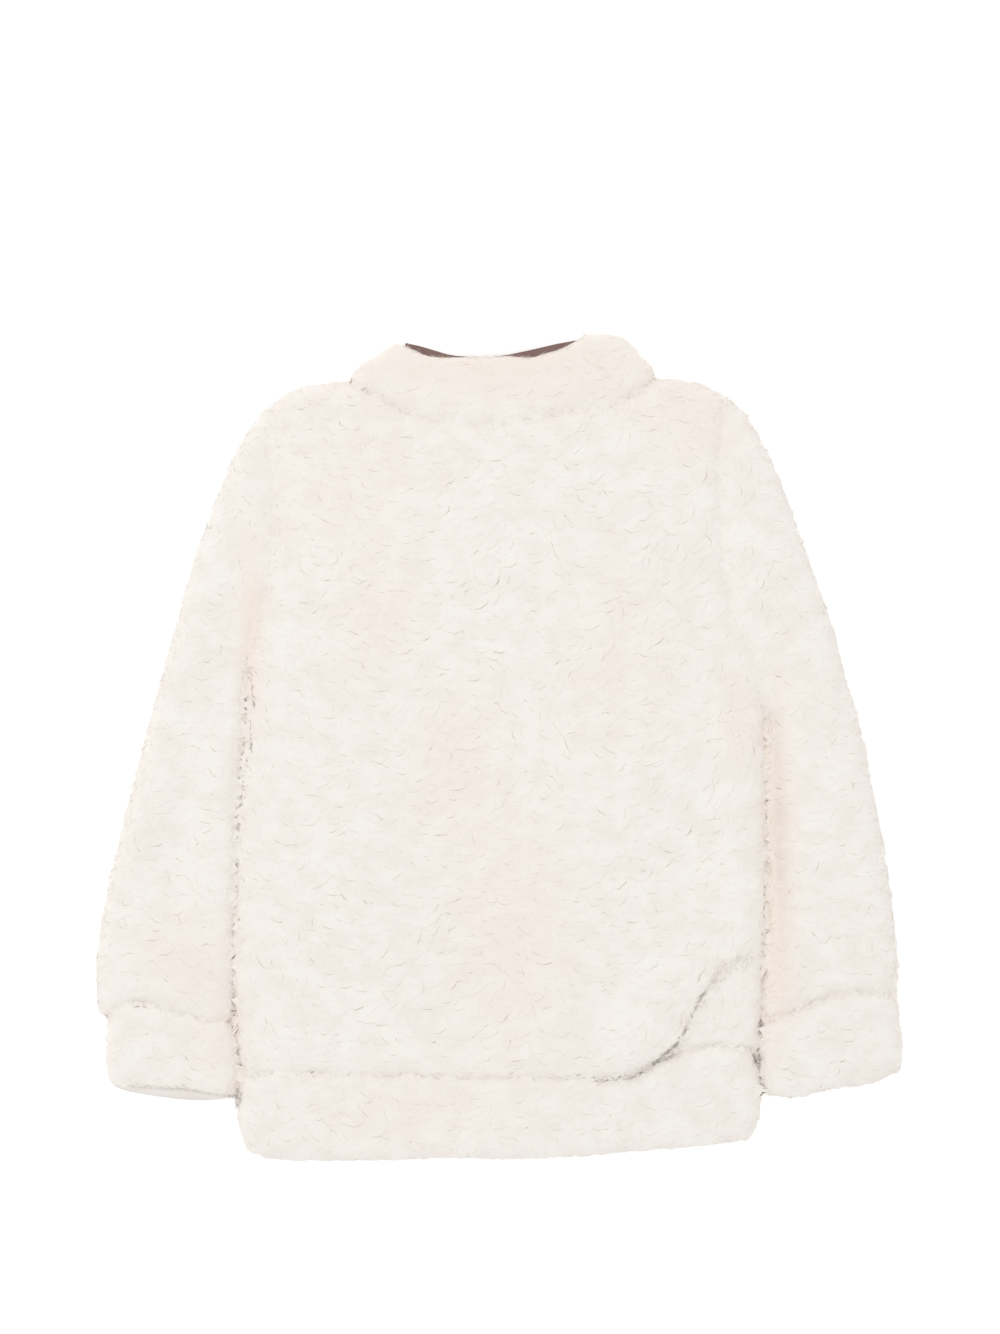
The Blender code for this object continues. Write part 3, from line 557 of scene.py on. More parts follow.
print("faces of the back's solid that show:", showing_faces(NODES["back"].data).sum(), "of",
      len(NODES["back"].data.polygons))

# %% [markdown]
# ## From a coarse solid to a smooth skin
#
# A CAD panel has triangles as long as a finger. So each panel is copied, its doubled corners are
# merged, and every long edge on its outside is halved, again and again, most of all beside a sharp
# crease. The inside, which no one sees, stays coarse. A few rounds of smoothing then take away the
# flat facets and leave the soft folds. A Subdivision Surface would round them too, but it would
# make every face finer alike, and pull the outline in.

# %% Refine and smooth
SKIN_EDGE = 4.2 * MM  # longest edge left on a skin
UNDER_EDGE = 8.4 * MM  # the same on the fronts, which lie underneath
CREASE_EDGE = 1.0 * MM  # the same beside a sharp crease
HALVINGS = 9  # at most
SMOOTH_ROUNDS = 4


def merged_copy(node, name):
    obj = bpy.data.objects.new(name, NODES[node].data.copy())
    bpy.context.scene.collection.objects.link(obj)
    obj.data.materials.clear()
    edit(obj)
    bpy.ops.mesh.select_all(action="SELECT")
    bpy.ops.mesh.remove_doubles(threshold=0.002 * MM)
    bpy.ops.object.mode_set(mode="OBJECT")
    return obj


def edge_ends(mesh):
    """The two end points of each edge."""
    return field(mesh.vertices, "co", 3)[field(mesh.edges, "vertices", 2, np.int32)]


def lengths(ends):
    return np.linalg.norm(ends[:, 0] - ends[:, 1], axis=1)


def halve_long_edges(obj, longest):
    """Subdivides the outside's long edges until none is left."""
    mesh = obj.data
    for _ in range(HALVINGS):
        ends = edge_ends(mesh)
        middle = ends.mean(axis=1)
        creased = beside_crease(middle) & (middle[:, 2] > MID)
        edges = field(mesh.loops, "edge_index", 1, np.int32).reshape(-1, 3)
        on_outside = np.zeros(len(ends), dtype=bool)
        on_outside[edges[outside_faces(mesh)].ravel()] = True
        chosen = on_outside & (lengths(ends) > np.where(creased, CREASE_EDGE, longest))
        if not chosen.any():
            break
        edit(obj, "EDGE")
        bpy.ops.object.mode_set(mode="OBJECT")
        select(mesh, "edges", chosen)
        bpy.ops.object.mode_set(mode="EDIT")
        bpy.ops.mesh.subdivide(number_cuts=1, ngon=False)
        bpy.ops.mesh.select_all(action="SELECT")
        bpy.ops.mesh.quads_convert_to_tris(quad_method="SHORTEST_DIAGONAL")
        bpy.ops.object.mode_set(mode="OBJECT")


def smooth_outside(obj):
    """Rounds off the facets. The rim where outside and inside meet keeps its place."""
    mesh = obj.data
    shows, corners = outside_faces(mesh), corners_of(mesh)
    outer = np.zeros(len(mesh.vertices), dtype=bool)
    outer[corners[shows].ravel()] = True
    outer[corners[~shows].ravel()] = False
    edit_where(obj, lambda points: outer)
    bpy.ops.mesh.vertices_smooth(factor=0.5, repeat=SMOOTH_ROUNDS)
    bpy.ops.object.mode_set(mode="OBJECT")
    return outer


print("longest edge of the back's solid:", round(lengths(edge_ends(NODES["back"].data)).max() / MM), "mm")

# %% [markdown]
# ## The skins
#
# For each panel: copy, refine, smooth, sink a little to leave room for the curls, press the
# creases in and keep off the floor. Where the cloth rolls over an edge the pile opens like a brush,
# so the skin swells there, one tuft more than the next. That gives the outline its soft bumps.

# %% Make the skins
SKIN_SINK = 0.15 * MM  # how far the skin is drawn in to make room for the curls
SKIN_SWELL = 0.95 * MM  # how far it swells at a rolled edge, where the pile opens
SWELL_UNEVEN = 1.0  # share by which one tuft there swells more than the next
SEAM_ABOVE = MID + 1.5 * MM  # seams lower than this don't show from above
CREASED_IF = 0.2  # how much of its normal a place needs upright to be creased


def unit(vectors):
    return vectors / np.maximum(np.linalg.norm(vectors, axis=-1, keepdims=True), 1e-12)


def beside_tape(points):
    """True at the collar's back edge, where the pile lies close and the neck's tape looks out."""
    return (np.abs(points[:, 0] + 5 * MM) < 60 * MM) & (points[:, 1] > 238 * MM)


def tufts(points):
    """From -1 to 1, rising and falling every 6 mm or so in all directions."""
    x, y, z = (points / MM).T
    return np.sin(x / 1.1 + 2 * np.sin(y / 2.3)) * np.sin(y + z / 1.2 + 2 * np.sin(x / 2.7))


def summed_normals(mesh, shows):
    """For each vertex, the sum of the normals of its faces that show, each as long as its area."""
    corners = corners_of(mesh)
    weighted = field(mesh.polygons, "normal", 3) * field(mesh.polygons, "area", 1)[:, None]
    total = np.zeros((len(mesh.vertices), 3))
    for k in range(3):
        np.add.at(total, corners[shows, k], weighted[shows])
    return total


def skin_of(node):
    """A panel's smooth skin, its faces and points that show, the normals there, and which are on seams."""
    skin = merged_copy(node, node + "_skin")
    halve_long_edges(skin, UNDER_EDGE if node.startswith("front") else SKIN_EDGE)
    mesh = skin.data
    shows, corners = showing_faces(mesh), corners_of(mesh)
    outer = smooth_outside(skin)
    total = summed_normals(mesh, shows)
    where = np.flatnonzero(outer & (np.abs(total).sum(axis=1) > 0))
    up = unit(total[where])
    points = field(mesh.vertices, "co", 3)
    beside_hidden = np.zeros(len(points), dtype=bool)
    beside_hidden[corners[~shows].ravel()] = True
    seam = beside_hidden[where] & (points[where, 2] > SEAM_ABOVE)
    creases = crease_depth(points[where]) * (up[:, 2] > CREASED_IF)
    swell = SKIN_SWELL * (1 - np.abs(up[:, 2])) * np.where(beside_tape(points[where]), -1, ~seam)
    swell *= 1 + SWELL_UNEVEN * tufts(points[where])
    points[where] = above_floor(points[where] + up * (swell - SKIN_SINK - creases)[:, None], SKIN_CLEAR)
    mesh.vertices.foreach_set("co", points.ravel())
    # painted shade in the creases, fuller where they are deeper
    painted_shade = np.zeros(len(points))
    painted_shade[where] = creases / CREASE_DARKEST
    remember(mesh, "painted_shade", painted_shade)
    remember(mesh, "rose_and_shade", rose_and_shade_strength(points))
    mesh.update()
    mesh.shade_smooth()
    mesh.materials.append(FLEECE)
    return skin, shows, points[where], up, seam


SKINS = {node: skin_of(node) for node in CLOTH}
print("skin faces:", {node: len(skin[0].data.polygons) for node, skin in SKINS.items()})

# %% [markdown]
# ## Finding one's way on the cloth
#
# The steps that follow ask two things again and again: where is the nearest cloth, and how far is
# the nearest seam? Going through every face each time would take hours. A search tree sorts them
# once and then answers at once: a BVH tree for faces and a KD tree for points.

# %% Search trees
# The sleeves' seams with the body are brushed shut and get no painted shadow. They lie further out
# than the first of these, and nearer to the collar than the second.
BODY_HALF = 135 * MM
BODY_LOW = -150 * MM

PILE = search_tree((skin.data, shows) for skin, shows, _, _, _ in SKINS.values())
seam_points = np.vstack([points[seam] for _, _, points, _, seam in SKINS.values()])
beside_body = (np.abs(seam_points[:, 0]) > BODY_HALF) & (seam_points[:, 1] > BODY_LOW)
SEAMS, EDGES = KDTree(len(seam_points)), KDTree(len(seam_points))
for index, point in enumerate(seam_points):
    EDGES.insert(point, index)
    if not beside_body[index]:
        SEAMS.insert(point, index)
SEAMS.balance()
EDGES.balance()
print("points on the panels' edges:", len(seam_points), "- of them in shadow:", (~beside_body).sum())

# %% [markdown]
# ## The lie of the pile
#
# Pile has a nap: on the flat of the cloth it lies towards the hem, over a rolled edge it falls, and
# beside the body's side seams it is brushed outwards. Slow swirls make neighbours lie alike, and
# each curl strays a little from them. One wish for the whole garment is enough: its part along the
# skin gives the way of the pile at every point.

# %% The lie of the pile
NAP = (0.0, -0.6, -1.0)  # towards the hem, and down
NAP_AT_TAPE = 1.2  # towards the collar's edge, beside the tape
BRUSHED_OUT = 1.4  # how strongly the pile beside a side seam points outwards
BRUSHED_FROM, BRUSHED_OVER, BRUSHED_TO = 115, 40, 176  # in mm from the middle: begins, rises, ends
BRUSHED_BELOW = 190  # in mm towards the collar
SWIRL = 0.35  # radians, twice


def swirls(x, y):
    """How far the pile turns from the nap, for places in mm."""
    return SWIRL * np.sin(x / 19 + np.sin(y / 27)) + SWIRL * np.sin(y / 23 + 1.7 * np.sin(x / 31))


def nap(points, normals, spread):
    """For each point, the way the pile lies on the skin, and the way across it."""
    x, y = points[:, 0] / MM, points[:, 1] / MM
    fall = np.tile(NAP, (len(points), 1))
    beside = np.clip((np.abs(x) - BRUSHED_FROM) / BRUSHED_OVER, 0, 1) * (np.abs(x) < BRUSHED_TO)
    fall[:, 0] = np.sign(x) * beside * (y < BRUSHED_BELOW) * BRUSHED_OUT
    fall[beside_tape(points), 1] = NAP_AT_TAPE
    lie = unit(fall - (normals * fall).sum(axis=1, keepdims=True) * normals)
    side = np.cross(lie, normals)
    turn = (swirls(x, y) + random.normal(0, spread, len(points)))[:, None]
    return lie * np.cos(turn) + side * np.sin(turn), side * np.cos(turn) - lie * np.sin(turn)


down_the_middle = np.degrees(swirls(0, np.arange(-200, 200, 20))).round()
print("turn of the pile down the middle, in degrees:", down_the_middle.astype(int).tolist())

# %% [markdown]
# ## Painted shadows where the pile opens
#
# What one sees of long pile from above is mostly its shadows: a thin dark arc where a curl's free
# lip lifts off the next one. Light alone draws them too faintly at this size, so each curl keeps a
# number on its foot for the painted shadow there, and the fleece's shader darkens it by that. A
# curl that bridges a hollow, or lies half beside the cloth, would show a dark face instead of an
# arc, so it gets no painted shadow.

# %% Painted shadows of lips, seams and creases
LIP_STRETCH = 1.25  # a lip stretched by more than this bridges a hollow, and gets no painted shadow
LIP_SLACK = 0.15 * MM  # the stretch that any lip may have
LIP_CLEAR = 1.5 * MM  # a lip this near to a panel's edge shows none either
LIP_LEVEL = 0.5  # nor where the skin is steeper than this share of upright
LIP_STRAY = 0.7  # how far, in radians, the darkest place strays from the middle of the lip
LIP_TAPER = 1.5  # how fast an arc thins out to its ends
SEAM_SHADOW = 0.6  # strength of the painted shadow along the middle of a seam
SEAM_HALF = 2.2 * MM


def away_from(tree, points, count):
    """How far each curl's points are from the nearest point of the tree."""
    return np.array([tree.find(point)[2] for point in points]).reshape(count, -1)


def shadows(points, count):
    """Painted soft shadow along a seam, stronger on some curls than on others, and painted shade in the
    creases.
    """
    seam = np.exp(-((away_from(SEAMS, points, count) / SEAM_HALF) ** 2))
    seam *= random.uniform(0.2, 1, (count, 1))
    return SEAM_SHADOW * seam + crease_depth(points).reshape(count, -1) / CREASE_DARKEST


def inside_cloth(points, tree):
    """True for the points that lie below the skin."""
    inside = np.empty(len(points), dtype=bool)
    for index, point in enumerate(points):
        on_skin, normal, _, _ = tree.find_nearest(point)
        inside[index] = normal.dot(point - np.array(on_skin)) < 0
    return inside


def lip_shadows(flat, laid, count, tree):
    """Painted shadow along each curl's foot: most at one place of its lip, and less beside it."""
    x, y, z = CURL[0].T
    foot, rim = np.flatnonzero(z < -0.5), np.flatnonzero((z > -0.5) & (np.hypot(x, y) > 0.5))
    partner = rim[[np.hypot(x[rim] - x[k] / FOOT, y[rim] - y[k] / FOOT).argmin() for k in foot]]
    flat, laid = (points.reshape(count, -1, 3) for points in (flat, laid))
    ring = foot[np.argsort(np.arctan2(y[foot], x[foot]))]
    ends, others = np.concatenate([foot, ring]), np.concatenate([partner, np.roll(ring, 1)])
    was, wide = (np.linalg.norm(points[:, ends] - points[:, others], axis=2) for points in (flat, laid))
    whole = (wide < LIP_STRETCH * was + LIP_SLACK).all(axis=1, keepdims=True)
    towards = random.normal(LIP_AT, LIP_STRAY, (count, 1))
    facing = np.cos(np.arctan2(y[foot], x[foot]) - towards).clip(0, 1) ** LIP_TAPER
    below = (laid[:, foot] + laid[:, foot].mean(axis=1, keepdims=True)) / 2
    whole &= inside_cloth(below.reshape(-1, 3), tree).reshape(count, -1).all(axis=1, keepdims=True)
    whole &= (away_from(EDGES, laid[:, foot].reshape(-1, 3), count) > LIP_CLEAR).all(axis=1, keepdims=True)
    painted_shade = np.zeros((count, len(x)))
    painted_shade[:, foot] = LIP_SHADOW * random.uniform(0, 1, (count, 1)) * facing * whole
    return painted_shade


above, below = (np.array([(0, 0, MID + high * MM)]) for high in (40, 1))
print("inside the cloth 40 mm above its middle:", inside_cloth(above, PILE)[0])
print("inside the cloth 1 mm above its middle:", inside_cloth(below, PILE)[0])

# %% [markdown]
# ## Curls
#
# The cloth is cut into cubes of space, and one random point of the skin in each gets a curl. That
# keeps curls evenly apart on level cloth and round an edge alike. Each is first spread out flat,
# then draped: every one of its points drops to the nearest cloth, whichever panel that is, so that
# curls bend over seams and hide them, as brushed pile does.

# %% Picking places and draping
def one_per_cell(points, cell):
    """Picks a random point in each cube of space that holds any."""
    order = random.permutation(len(points))
    cells = np.floor(points[order] / cell).astype(int)
    _, first = np.unique(cells, axis=0, return_index=True)
    return order[first]


def between(limits, count):
    return random.uniform(*limits, count)[:, None]


def draped(points, lift, tree):
    """The points laid on the nearest cloth, whichever panel it is, and each raised by its lift."""
    laid = np.empty_like(points)
    for index, point in enumerate(points):
        on_skin, normal, _, _ = tree.find_nearest(point)
        laid[index] = on_skin + normal * lift[index]
    return laid


landed = draped(np.array([(0, 0, 0.1)]), [0.0], PILE)
print("a point dropped on the middle of the back lands at", round(landed[0, 2] / MM, 1), "mm")

# %% Curls
CURL_CELL = 5.6 * MM  # one curl for each such cell of space
UNDER_CELL = 7.6 * MM  # the same on the fronts, which lie underneath
SEAM_CELL = 2.0 * MM  # the same along a seam, which the curls should hide
SEAM_SIZE = 0.62  # how much smaller those curls are, and those beside a crease
CURL_LONG = (3.3 * MM, 6.8 * MM)  # half its length along the nap
CURL_WIDE = (3.6 * MM, 8.2 * MM)  # half its width
CURL_LOW = 0.14 * MM  # height of the flattest
CURL_RISE = 0.6 * MM  # how much higher the few highest are
CURL_TURN = 0.5  # how far, in radians, a curl strays from the swirls
CURL_ROUGH = 0.35 * MM  # how uneven its outline is
CURL_SHALLOW = 0.3 * MM  # depth of a sharp crease past which it holds no curls
CURL_AWAY = 1.6  # how much wider than the crease that bare strip is
CURL_SHARP = math.radians(20)  # an edge sharper than this stays crisp
EDGE_TUFT = 4.0  # how many times higher curls stand where the cloth rolls over


def curls_on(name, points, normals, seam, cell, tree):
    """A panel's curls as one mesh. The points, their normals and what is a seam come from its skin."""
    chosen = one_per_cell(points, cell)
    on_seam = np.flatnonzero(seam)
    chosen = np.concatenate([chosen, on_seam[one_per_cell(points[on_seam], SEAM_CELL)]])
    chosen = chosen[crease_depth(points[chosen], CURL_AWAY, CREASE_SHARP) < CURL_SHALLOW]
    root, up, sewn = points[chosen], normals[chosen], seam[chosen][:, None]
    lie, side = nap(root, up, CURL_TURN)
    count = len(chosen)
    small = beside_crease(root)[:, None] | sewn
    size = cell / CURL_CELL * np.where(small, SEAM_SIZE, 1)
    across, along = side * between(CURL_WIDE, count) * size, lie * between(CURL_LONG, count) * size
    flat, faces = copied(CURL, root, np.stack([across, along, 0 * up], axis=1))
    flat += random.normal(0, CURL_ROUGH, flat.shape)
    if name.startswith("front"):  # its curls stay on their own side of the zip
        flat[:, 0] = flat[:, 0].clip(points[:, 0].min(), points[:, 0].max())
    high = CURL_LOW + CURL_RISE * random.uniform(0, 1, count) ** 3
    high *= 1 + EDGE_TUFT * (1 - np.abs(up[:, 2])) * ~beside_tape(root)
    lift = (high[:, None] * CURL[0][:, 2]).ravel()
    curls = mesh_object(name, above_floor(draped(flat, lift, tree), PILE_CLEAR), faces, FLEECE)
    curls.data.set_sharp_from_angle(angle=CURL_SHARP)
    on_cloth = field(curls.data.vertices, "co", 3)
    # painted shadows under the lips, along the seams and in the creases
    painted_shade = lip_shadows(flat, on_cloth, count, tree) * (np.abs(up[:, 2:]) > LIP_LEVEL)
    painted_shade += shadows(on_cloth, count)
    remember(curls.data, "painted_shade", painted_shade.ravel())
    remember(curls.data, "rose_and_shade", rose_and_shade_strength(flat))
    return curls


print("curls are", [round(2 * size / MM, 1) for size in CURL_LONG], "mm long and",
      [round(2 * size / MM, 1) for size in CURL_WIDE], "mm wide")

# %% [markdown]
# ## Fibres
#
# A few long hairs stand out of the curls, most of all where the cloth rolls over: they make the
# fuzz of the outline. A place is drawn for each by weight, many at the edges and few on the flat,
# and each leans off the skin and bends over.

# %% Fibres
FIBRES_PER_CELL = 1.75
FIBRE_LONG = (3.0 * MM, 6.5 * MM)
FIBRE_THICK = (0.14 * MM, 0.28 * MM)
FIBRE_STAND = (0.03, 0.4)  # share of its length by which a fibre stands off the skin
FIBRE_FRINGE = 0.7  # how much more it stands off where the cloth rolls over
FIBRE_LEVEL, FIBRE_EDGE = 0.3, 6  # weights of a place on the flat, and of one on an edge
FIBRE_CROWD = 4.0  # how many times more of them there are beside a crease
FIBRE_DOWN = -0.4  # none where the cloth looks down more than this
FIBRE_ABOVE = 1.5 * MM  # none lower than this
FIBRE_TURN = 1.1  # how far, in radians, one strays from the nap
FIBRE_BEND, FIBRE_DROOP = 0.35, 0.3  # aside and down, as shares of its length
FIBRE_ROOT = 0.3 * MM  # how deep it is rooted
FIBRE_SHIFT = 2 * MM  # how far along the nap a root strays


def fibres_on(name, points, normals, seam, count):
    """A panel's loose fibres as one mesh."""
    sideways = 1 - np.abs(normals[:, 2])
    weight = np.where(normals[:, 2] > FIBRE_DOWN, FIBRE_LEVEL + FIBRE_EDGE * sideways, 0.0)
    weight *= points[:, 2] > FIBRE_ABOVE
    weight *= np.where(beside_crease(points) | beside_tape(points) | seam, FIBRE_CROWD, 1)
    roots = random.choice(len(points), size=count, p=weight / weight.sum())
    up = normals[roots]
    along, across = nap(points[roots], up, FIBRE_TURN)
    long, stand, thick = (between(limits, count) for limits in (FIBRE_LONG, FIBRE_STAND, FIBRE_THICK))
    stand = stand + FIBRE_FRINGE * sideways[roots, None]
    way = unit(along + stand * up)
    axes = np.stack([thick * np.cross(across, way), thick * across, long * way], axis=1)
    bend = long * (across * random.normal(0, FIBRE_BEND, (count, 1)) - FIBRE_DROOP * stand * up)
    start = points[roots] - up * FIBRE_ROOT + along * random.uniform(-1, 1, (count, 1)) * FIBRE_SHIFT
    placed, faces = copied(SPIKE, start, axes, bend[:, None])
    fibres = mesh_object(name, above_floor(placed, PILE_CLEAR), faces, FLEECE)
    remember(fibres.data, "rose_and_shade", rose_and_shade_strength(placed))
    return fibres


print("fibres are", [round(size / MM, 1) for size in FIBRE_LONG], "mm long,", FIBRES_PER_CELL, "to each curl")

# %% [markdown]
# ## Dark hairs of painted shadow in the creases
#
# A sharp fold in long pile isn't a clean line. It is a row of short dark strokes, where single
# hairs stand before the depth of the fold. So the folds in the table get hairs of their own,
# coloured with painted shadow, some along the fold and some across it. A ray from above finds the
# height of each.

# %% Dark hairs of painted shadow
HAIRS_ACROSS = 0.35  # share of the dark hairs that cross their crease
HAIR_STRAY = 0.25 * MM  # how far a root strays from the crease
HAIR_LIFT = (0.4 * MM, 1.0 * MM)  # height above the skin
HAIR_LONG = (2.0 * MM, 4.6 * MM)
HAIR_THICK = (0.2 * MM, 0.4 * MM)
HAIR_FINER = 0.7  # how much thinner those across are
HAIR_BEND = 0.25  # aside, as a share of its length
HAIR_DARK = (0.65, 1)  # share of the darkest painted shadow
WELL_ABOVE = 0.1  # a height from which rays are sent down


def shadow_hairs_in_creases(name):
    """Hairs coloured with painted shadow in the bottom of the sharp creases. Most lie along the crease and
    some cross it.
    """
    rows = []
    for x0, y0, x1, y1, _, _, crowd in CREASES:
        count = int(crowd * math.hypot(x1 - x0, y1 - y0))
        share = random.uniform(0, 1, count)
        way = np.full(count, math.atan2(y1 - y0, x1 - x0))
        rows.append(np.stack([x0 + share * (x1 - x0), y0 + share * (y1 - y0), way], axis=1))
    x, y, way = np.vstack(rows).T
    count = len(way)
    crosses = random.uniform(0, 1, count) < HAIRS_ACROSS
    crossing, along_it = random.uniform(-1.5, 1.5, count), random.normal(0, 0.2, count)
    way = way + np.where(crosses, crossing, along_it)
    way += np.where(random.uniform(0, 1, count) < 0.5, 0, math.pi)
    stray = random.normal(0, HAIR_STRAY, (count, 2))
    roots = np.stack([x * MM + stray[:, 0], y * MM + stray[:, 1], random.uniform(*HAIR_LIFT, count)], axis=1)
    long = between(HAIR_LONG, count)
    thick = between(HAIR_THICK, count) * np.where(crosses, HAIR_FINER, 1)[:, None]
    along, across = (
        np.stack([np.cos(way + turn), np.sin(way + turn), 0 * way], axis=1) for turn in (0, math.pi / 2)
    )
    axes = np.stack([thick * across, thick * np.array([(0, 0, 1)]), long * along], axis=1)
    bend = long * across * random.normal(0, HAIR_BEND, (count, 1))
    placed, faces = copied(SPIKE, roots, axes, bend[:, None])
    for point in placed:
        cloth = PILE.ray_cast((point[0], point[1], WELL_ABOVE), (0, 0, -1))[0]
        point[2] += cloth.z if cloth else MID
    hairs = mesh_object(name, placed, faces, FLEECE)
    # each hair's painted shadow, some darker than others
    dark = np.repeat(random.uniform(*HAIR_DARK, count), len(SPIKE[0]))
    remember(hairs.data, "painted_shade", dark * DARKEST_SHADOW_HAIR)
    remember(hairs.data, "rose_and_shade", rose_and_shade_strength(placed))
    return hairs


wanted = sum(int(crowd * math.hypot(x1 - x0, y1 - y0)) for x0, y0, x1, y1, _, _, crowd in CREASES)
print("dark hairs in the creases:", wanted)

# %% [markdown]
# ## The pile
#
# Curls and fibres are set on what shows of each panel. Sizes are the cut of each panel in metres,
# all round for a tube. The fronts lie underneath, and their curls are larger and fewer. The skin
# replaces the CAD solid, which is hidden, and its pile is attached with it to the garment.

# %% Make the pile
# Columns: node, what it rests on, width and length of the cut, its area, size of the curls
PANELS = [
    ("back", ["front_left_skin", "front_right_skin"], (0.346, 0.454), 0.1445, CURL_CELL),
    ("sleeve_left", ["floor"], (0.2, 0.4), 0.0466, CURL_CELL),
    ("sleeve_right", ["floor"], (0.2, 0.407), 0.0477, CURL_CELL),
    ("cuff_left", ["floor"], (0.172, 0.068), 0.0095, CURL_CELL),
    ("cuff_right", ["floor"], (0.182, 0.069), 0.0108, CURL_CELL),
    ("hem_band", ["floor"], (0.68, 0.076), 0.0389, CURL_CELL),
    ("collar", ["floor"], (0.4, 0.075), 0.018, CURL_CELL),
    ("front_left", ["floor"], (0.165, 0.451), 0.0697, UNDER_CELL),
    ("front_right", ["floor"], (0.166, 0.454), 0.069, UNDER_CELL),
]
for node, rests_on, flat, area, cell in PANELS:
    skin, _, points, up, seam = SKINS[node]
    curls = curls_on(node + "_curls", points, up, seam, cell, PILE)
    fibres = fibres_on(node + "_fibres", points, up, seam, int(area / cell**2 * FIBRES_PER_CELL))
    pile = [curls, fibres] + ([shadow_hairs_in_creases("back_shadow_hairs")] if node == "back" else [])
    for piece in [skin] + pile:
        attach(piece, "garment")
    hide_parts(node)
    print(node, "- faces of curls and fibres:", len(curls.data.polygons), len(fibres.data.polygons))

# %% [markdown]
# ## The tape in the neck
#
# A dark brown cotton twill hides the neck seam. Its ribs climb to the right, 1.5 mm apart. Yarns
# this fine would cost too many faces for what shows of them, so the weave is two waves in the
# shader: as a bump, and on the colour as painted shade in the grooves between the ribs. A tape is
# cloth as well: each is its CAD solid with softened edges.

# %% Neck tape
BROWN = linear(182, 150, 141)
BROWN_GROOVE_SHADE = linear(50, 36, 35)
RIB_TURN = -0.75  # the way across the ribs, in radians from X
NECK_TAPE_END = -53 * MM
NECK_TAPE_TUCK = (-6 * MM, 1.2 * MM, 0)  # its left end is tucked further into the collar's corner
TAPE_SOFT = 0.2 * MM
TAPE_SHARP = math.radians(50)


def twill_material():
    twill = Shader("twill", Roughness=0.85, Sheen_Weight=0.15)
    twill.surface.inputs["Specular IOR Level"].default_value = 0.15
    rib = twill.ribs(twill.place(1.5, 1.5, 1.5, turn=RIB_TURN), "X")
    yarn = twill.ribs(twill.place(0.6, 0.6, 0.6, turn=RIB_TURN), "Y")
    fuzz = twill.noise(twill.place(0.4, 1.4, 0.8, turn=RIB_TURN), detail=3.0)
    high = rib * 0.7 + rib * yarn * 0.3
    # painted shade in the grooves between the ribs, made uneven at random by the fuzz
    twill.feed(Base_Color=twill.mix((high * 0.7 + fuzz * 0.5).between(0.1, 1.0), BROWN_GROOVE_SHADE, BROWN))
    twill.feed(Normal=twill.bump(high + fuzz * 0.3, 0.7, 0.12 * MM))
    return twill.material


def tape_piece(node, material):
    """A CAD tape with its edges rounded."""
    tape = merged_copy(node, node + "_woven")
    if node == "neck_tape":
        edit_where(tape, lambda points: points[:, 0] < NECK_TAPE_END)
        bpy.ops.transform.translate(value=NECK_TAPE_TUCK)
    edit(tape, "EDGE")
    bpy.ops.mesh.select_all(action="DESELECT")
    bpy.ops.mesh.edges_select_sharp(sharpness=TAPE_SHARP)
    bpy.ops.mesh.bevel(offset=TAPE_SOFT, segments=2, affect="EDGES")
    bpy.ops.object.mode_set(mode="OBJECT")
    tape.data.set_sharp_from_angle(angle=TAPE_SHARP)
    tape.data.materials.append(material)
    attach(tape, "garment")
    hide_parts(node)
    print(node, "- faces:", len(tape.data.polygons))


tape_piece("neck_tape", twill_material())

# %% [markdown]
# ## The zip's tapes
#
# Each half of the zip is a narrow polyester tape, woven plainly: yarns across it and yarns along
# it. They are cream, as the thread is. The slider and its pull come from the CAD and get the
# satin nickel of the teeth.

# %% Zip materials and tapes
TAPE_CREAM = linear(226, 217, 204)
TAPE_GROOVE_SHADE = linear(198, 187, 172)
NICKEL = linear(196, 189, 179)
NICKEL_BRIGHT = linear(221, 216, 208)


def zip_tape_material():
    woven = Shader("zip tape", Roughness=0.75, Sheen_Weight=0.1)
    woven.surface.inputs["Specular IOR Level"].default_value = 0.25
    across = woven.ribs(woven.place(0.55, 0.55, 0.55), "Y")
    along = woven.ribs(woven.place(0.9, 0.9, 0.9), "X")
    uneven = woven.noise(woven.place(6, 1.2, 3))
    high = across * 0.6 + along * 0.4
    # painted shade in the gaps between the yarns, made uneven at random
    woven.feed(Base_Color=woven.mix((high * 0.7 + uneven * 0.5).between(0.1, 1.0), TAPE_GROOVE_SHADE, TAPE_CREAM))
    woven.feed(Normal=woven.bump(high, 0.6, 0.1 * MM))
    return woven.material


def nickel_material():
    nickel = Shader("satin nickel", Metallic=1.0)
    brushed = nickel.noise(nickel.place(0.12, 2.5, 0.12), detail=3.0)
    worn = nickel.noise(nickel.place(3, 3, 3), detail=3.0).between(0.45, 0.75)
    nickel.feed(Base_Color=nickel.mix(worn, NICKEL, NICKEL_BRIGHT))
    nickel.feed(Roughness=0.42 - worn * 0.14 + brushed * 0.1)
    nickel.feed(Normal=nickel.bump(brushed, 0.15, 0.02 * MM))
    return nickel.material


ZIP_TAPE = zip_tape_material()
METAL = nickel_material()
for node in ("zip_slider", "zip_pull"):
    for slot in NODES[node].material_slots:
        slot.material = METAL
for side in ("left", "right"):
    tape_piece("zip_tape_" + side, ZIP_TAPE)

# %% [markdown]
# ## A tooth and a stitch
#
# The zip faces down. Its teeth are small nickel castings, each closed round the tape's edge, with a
# head that reaches past the middle between two heads of the other side. A tooth starts as a block
# round the tape. Its end is drawn out three times: narrow for the neck, wide for the head and
# narrow again for the tip. A stitch is a short thread whose ends dip into the cloth.

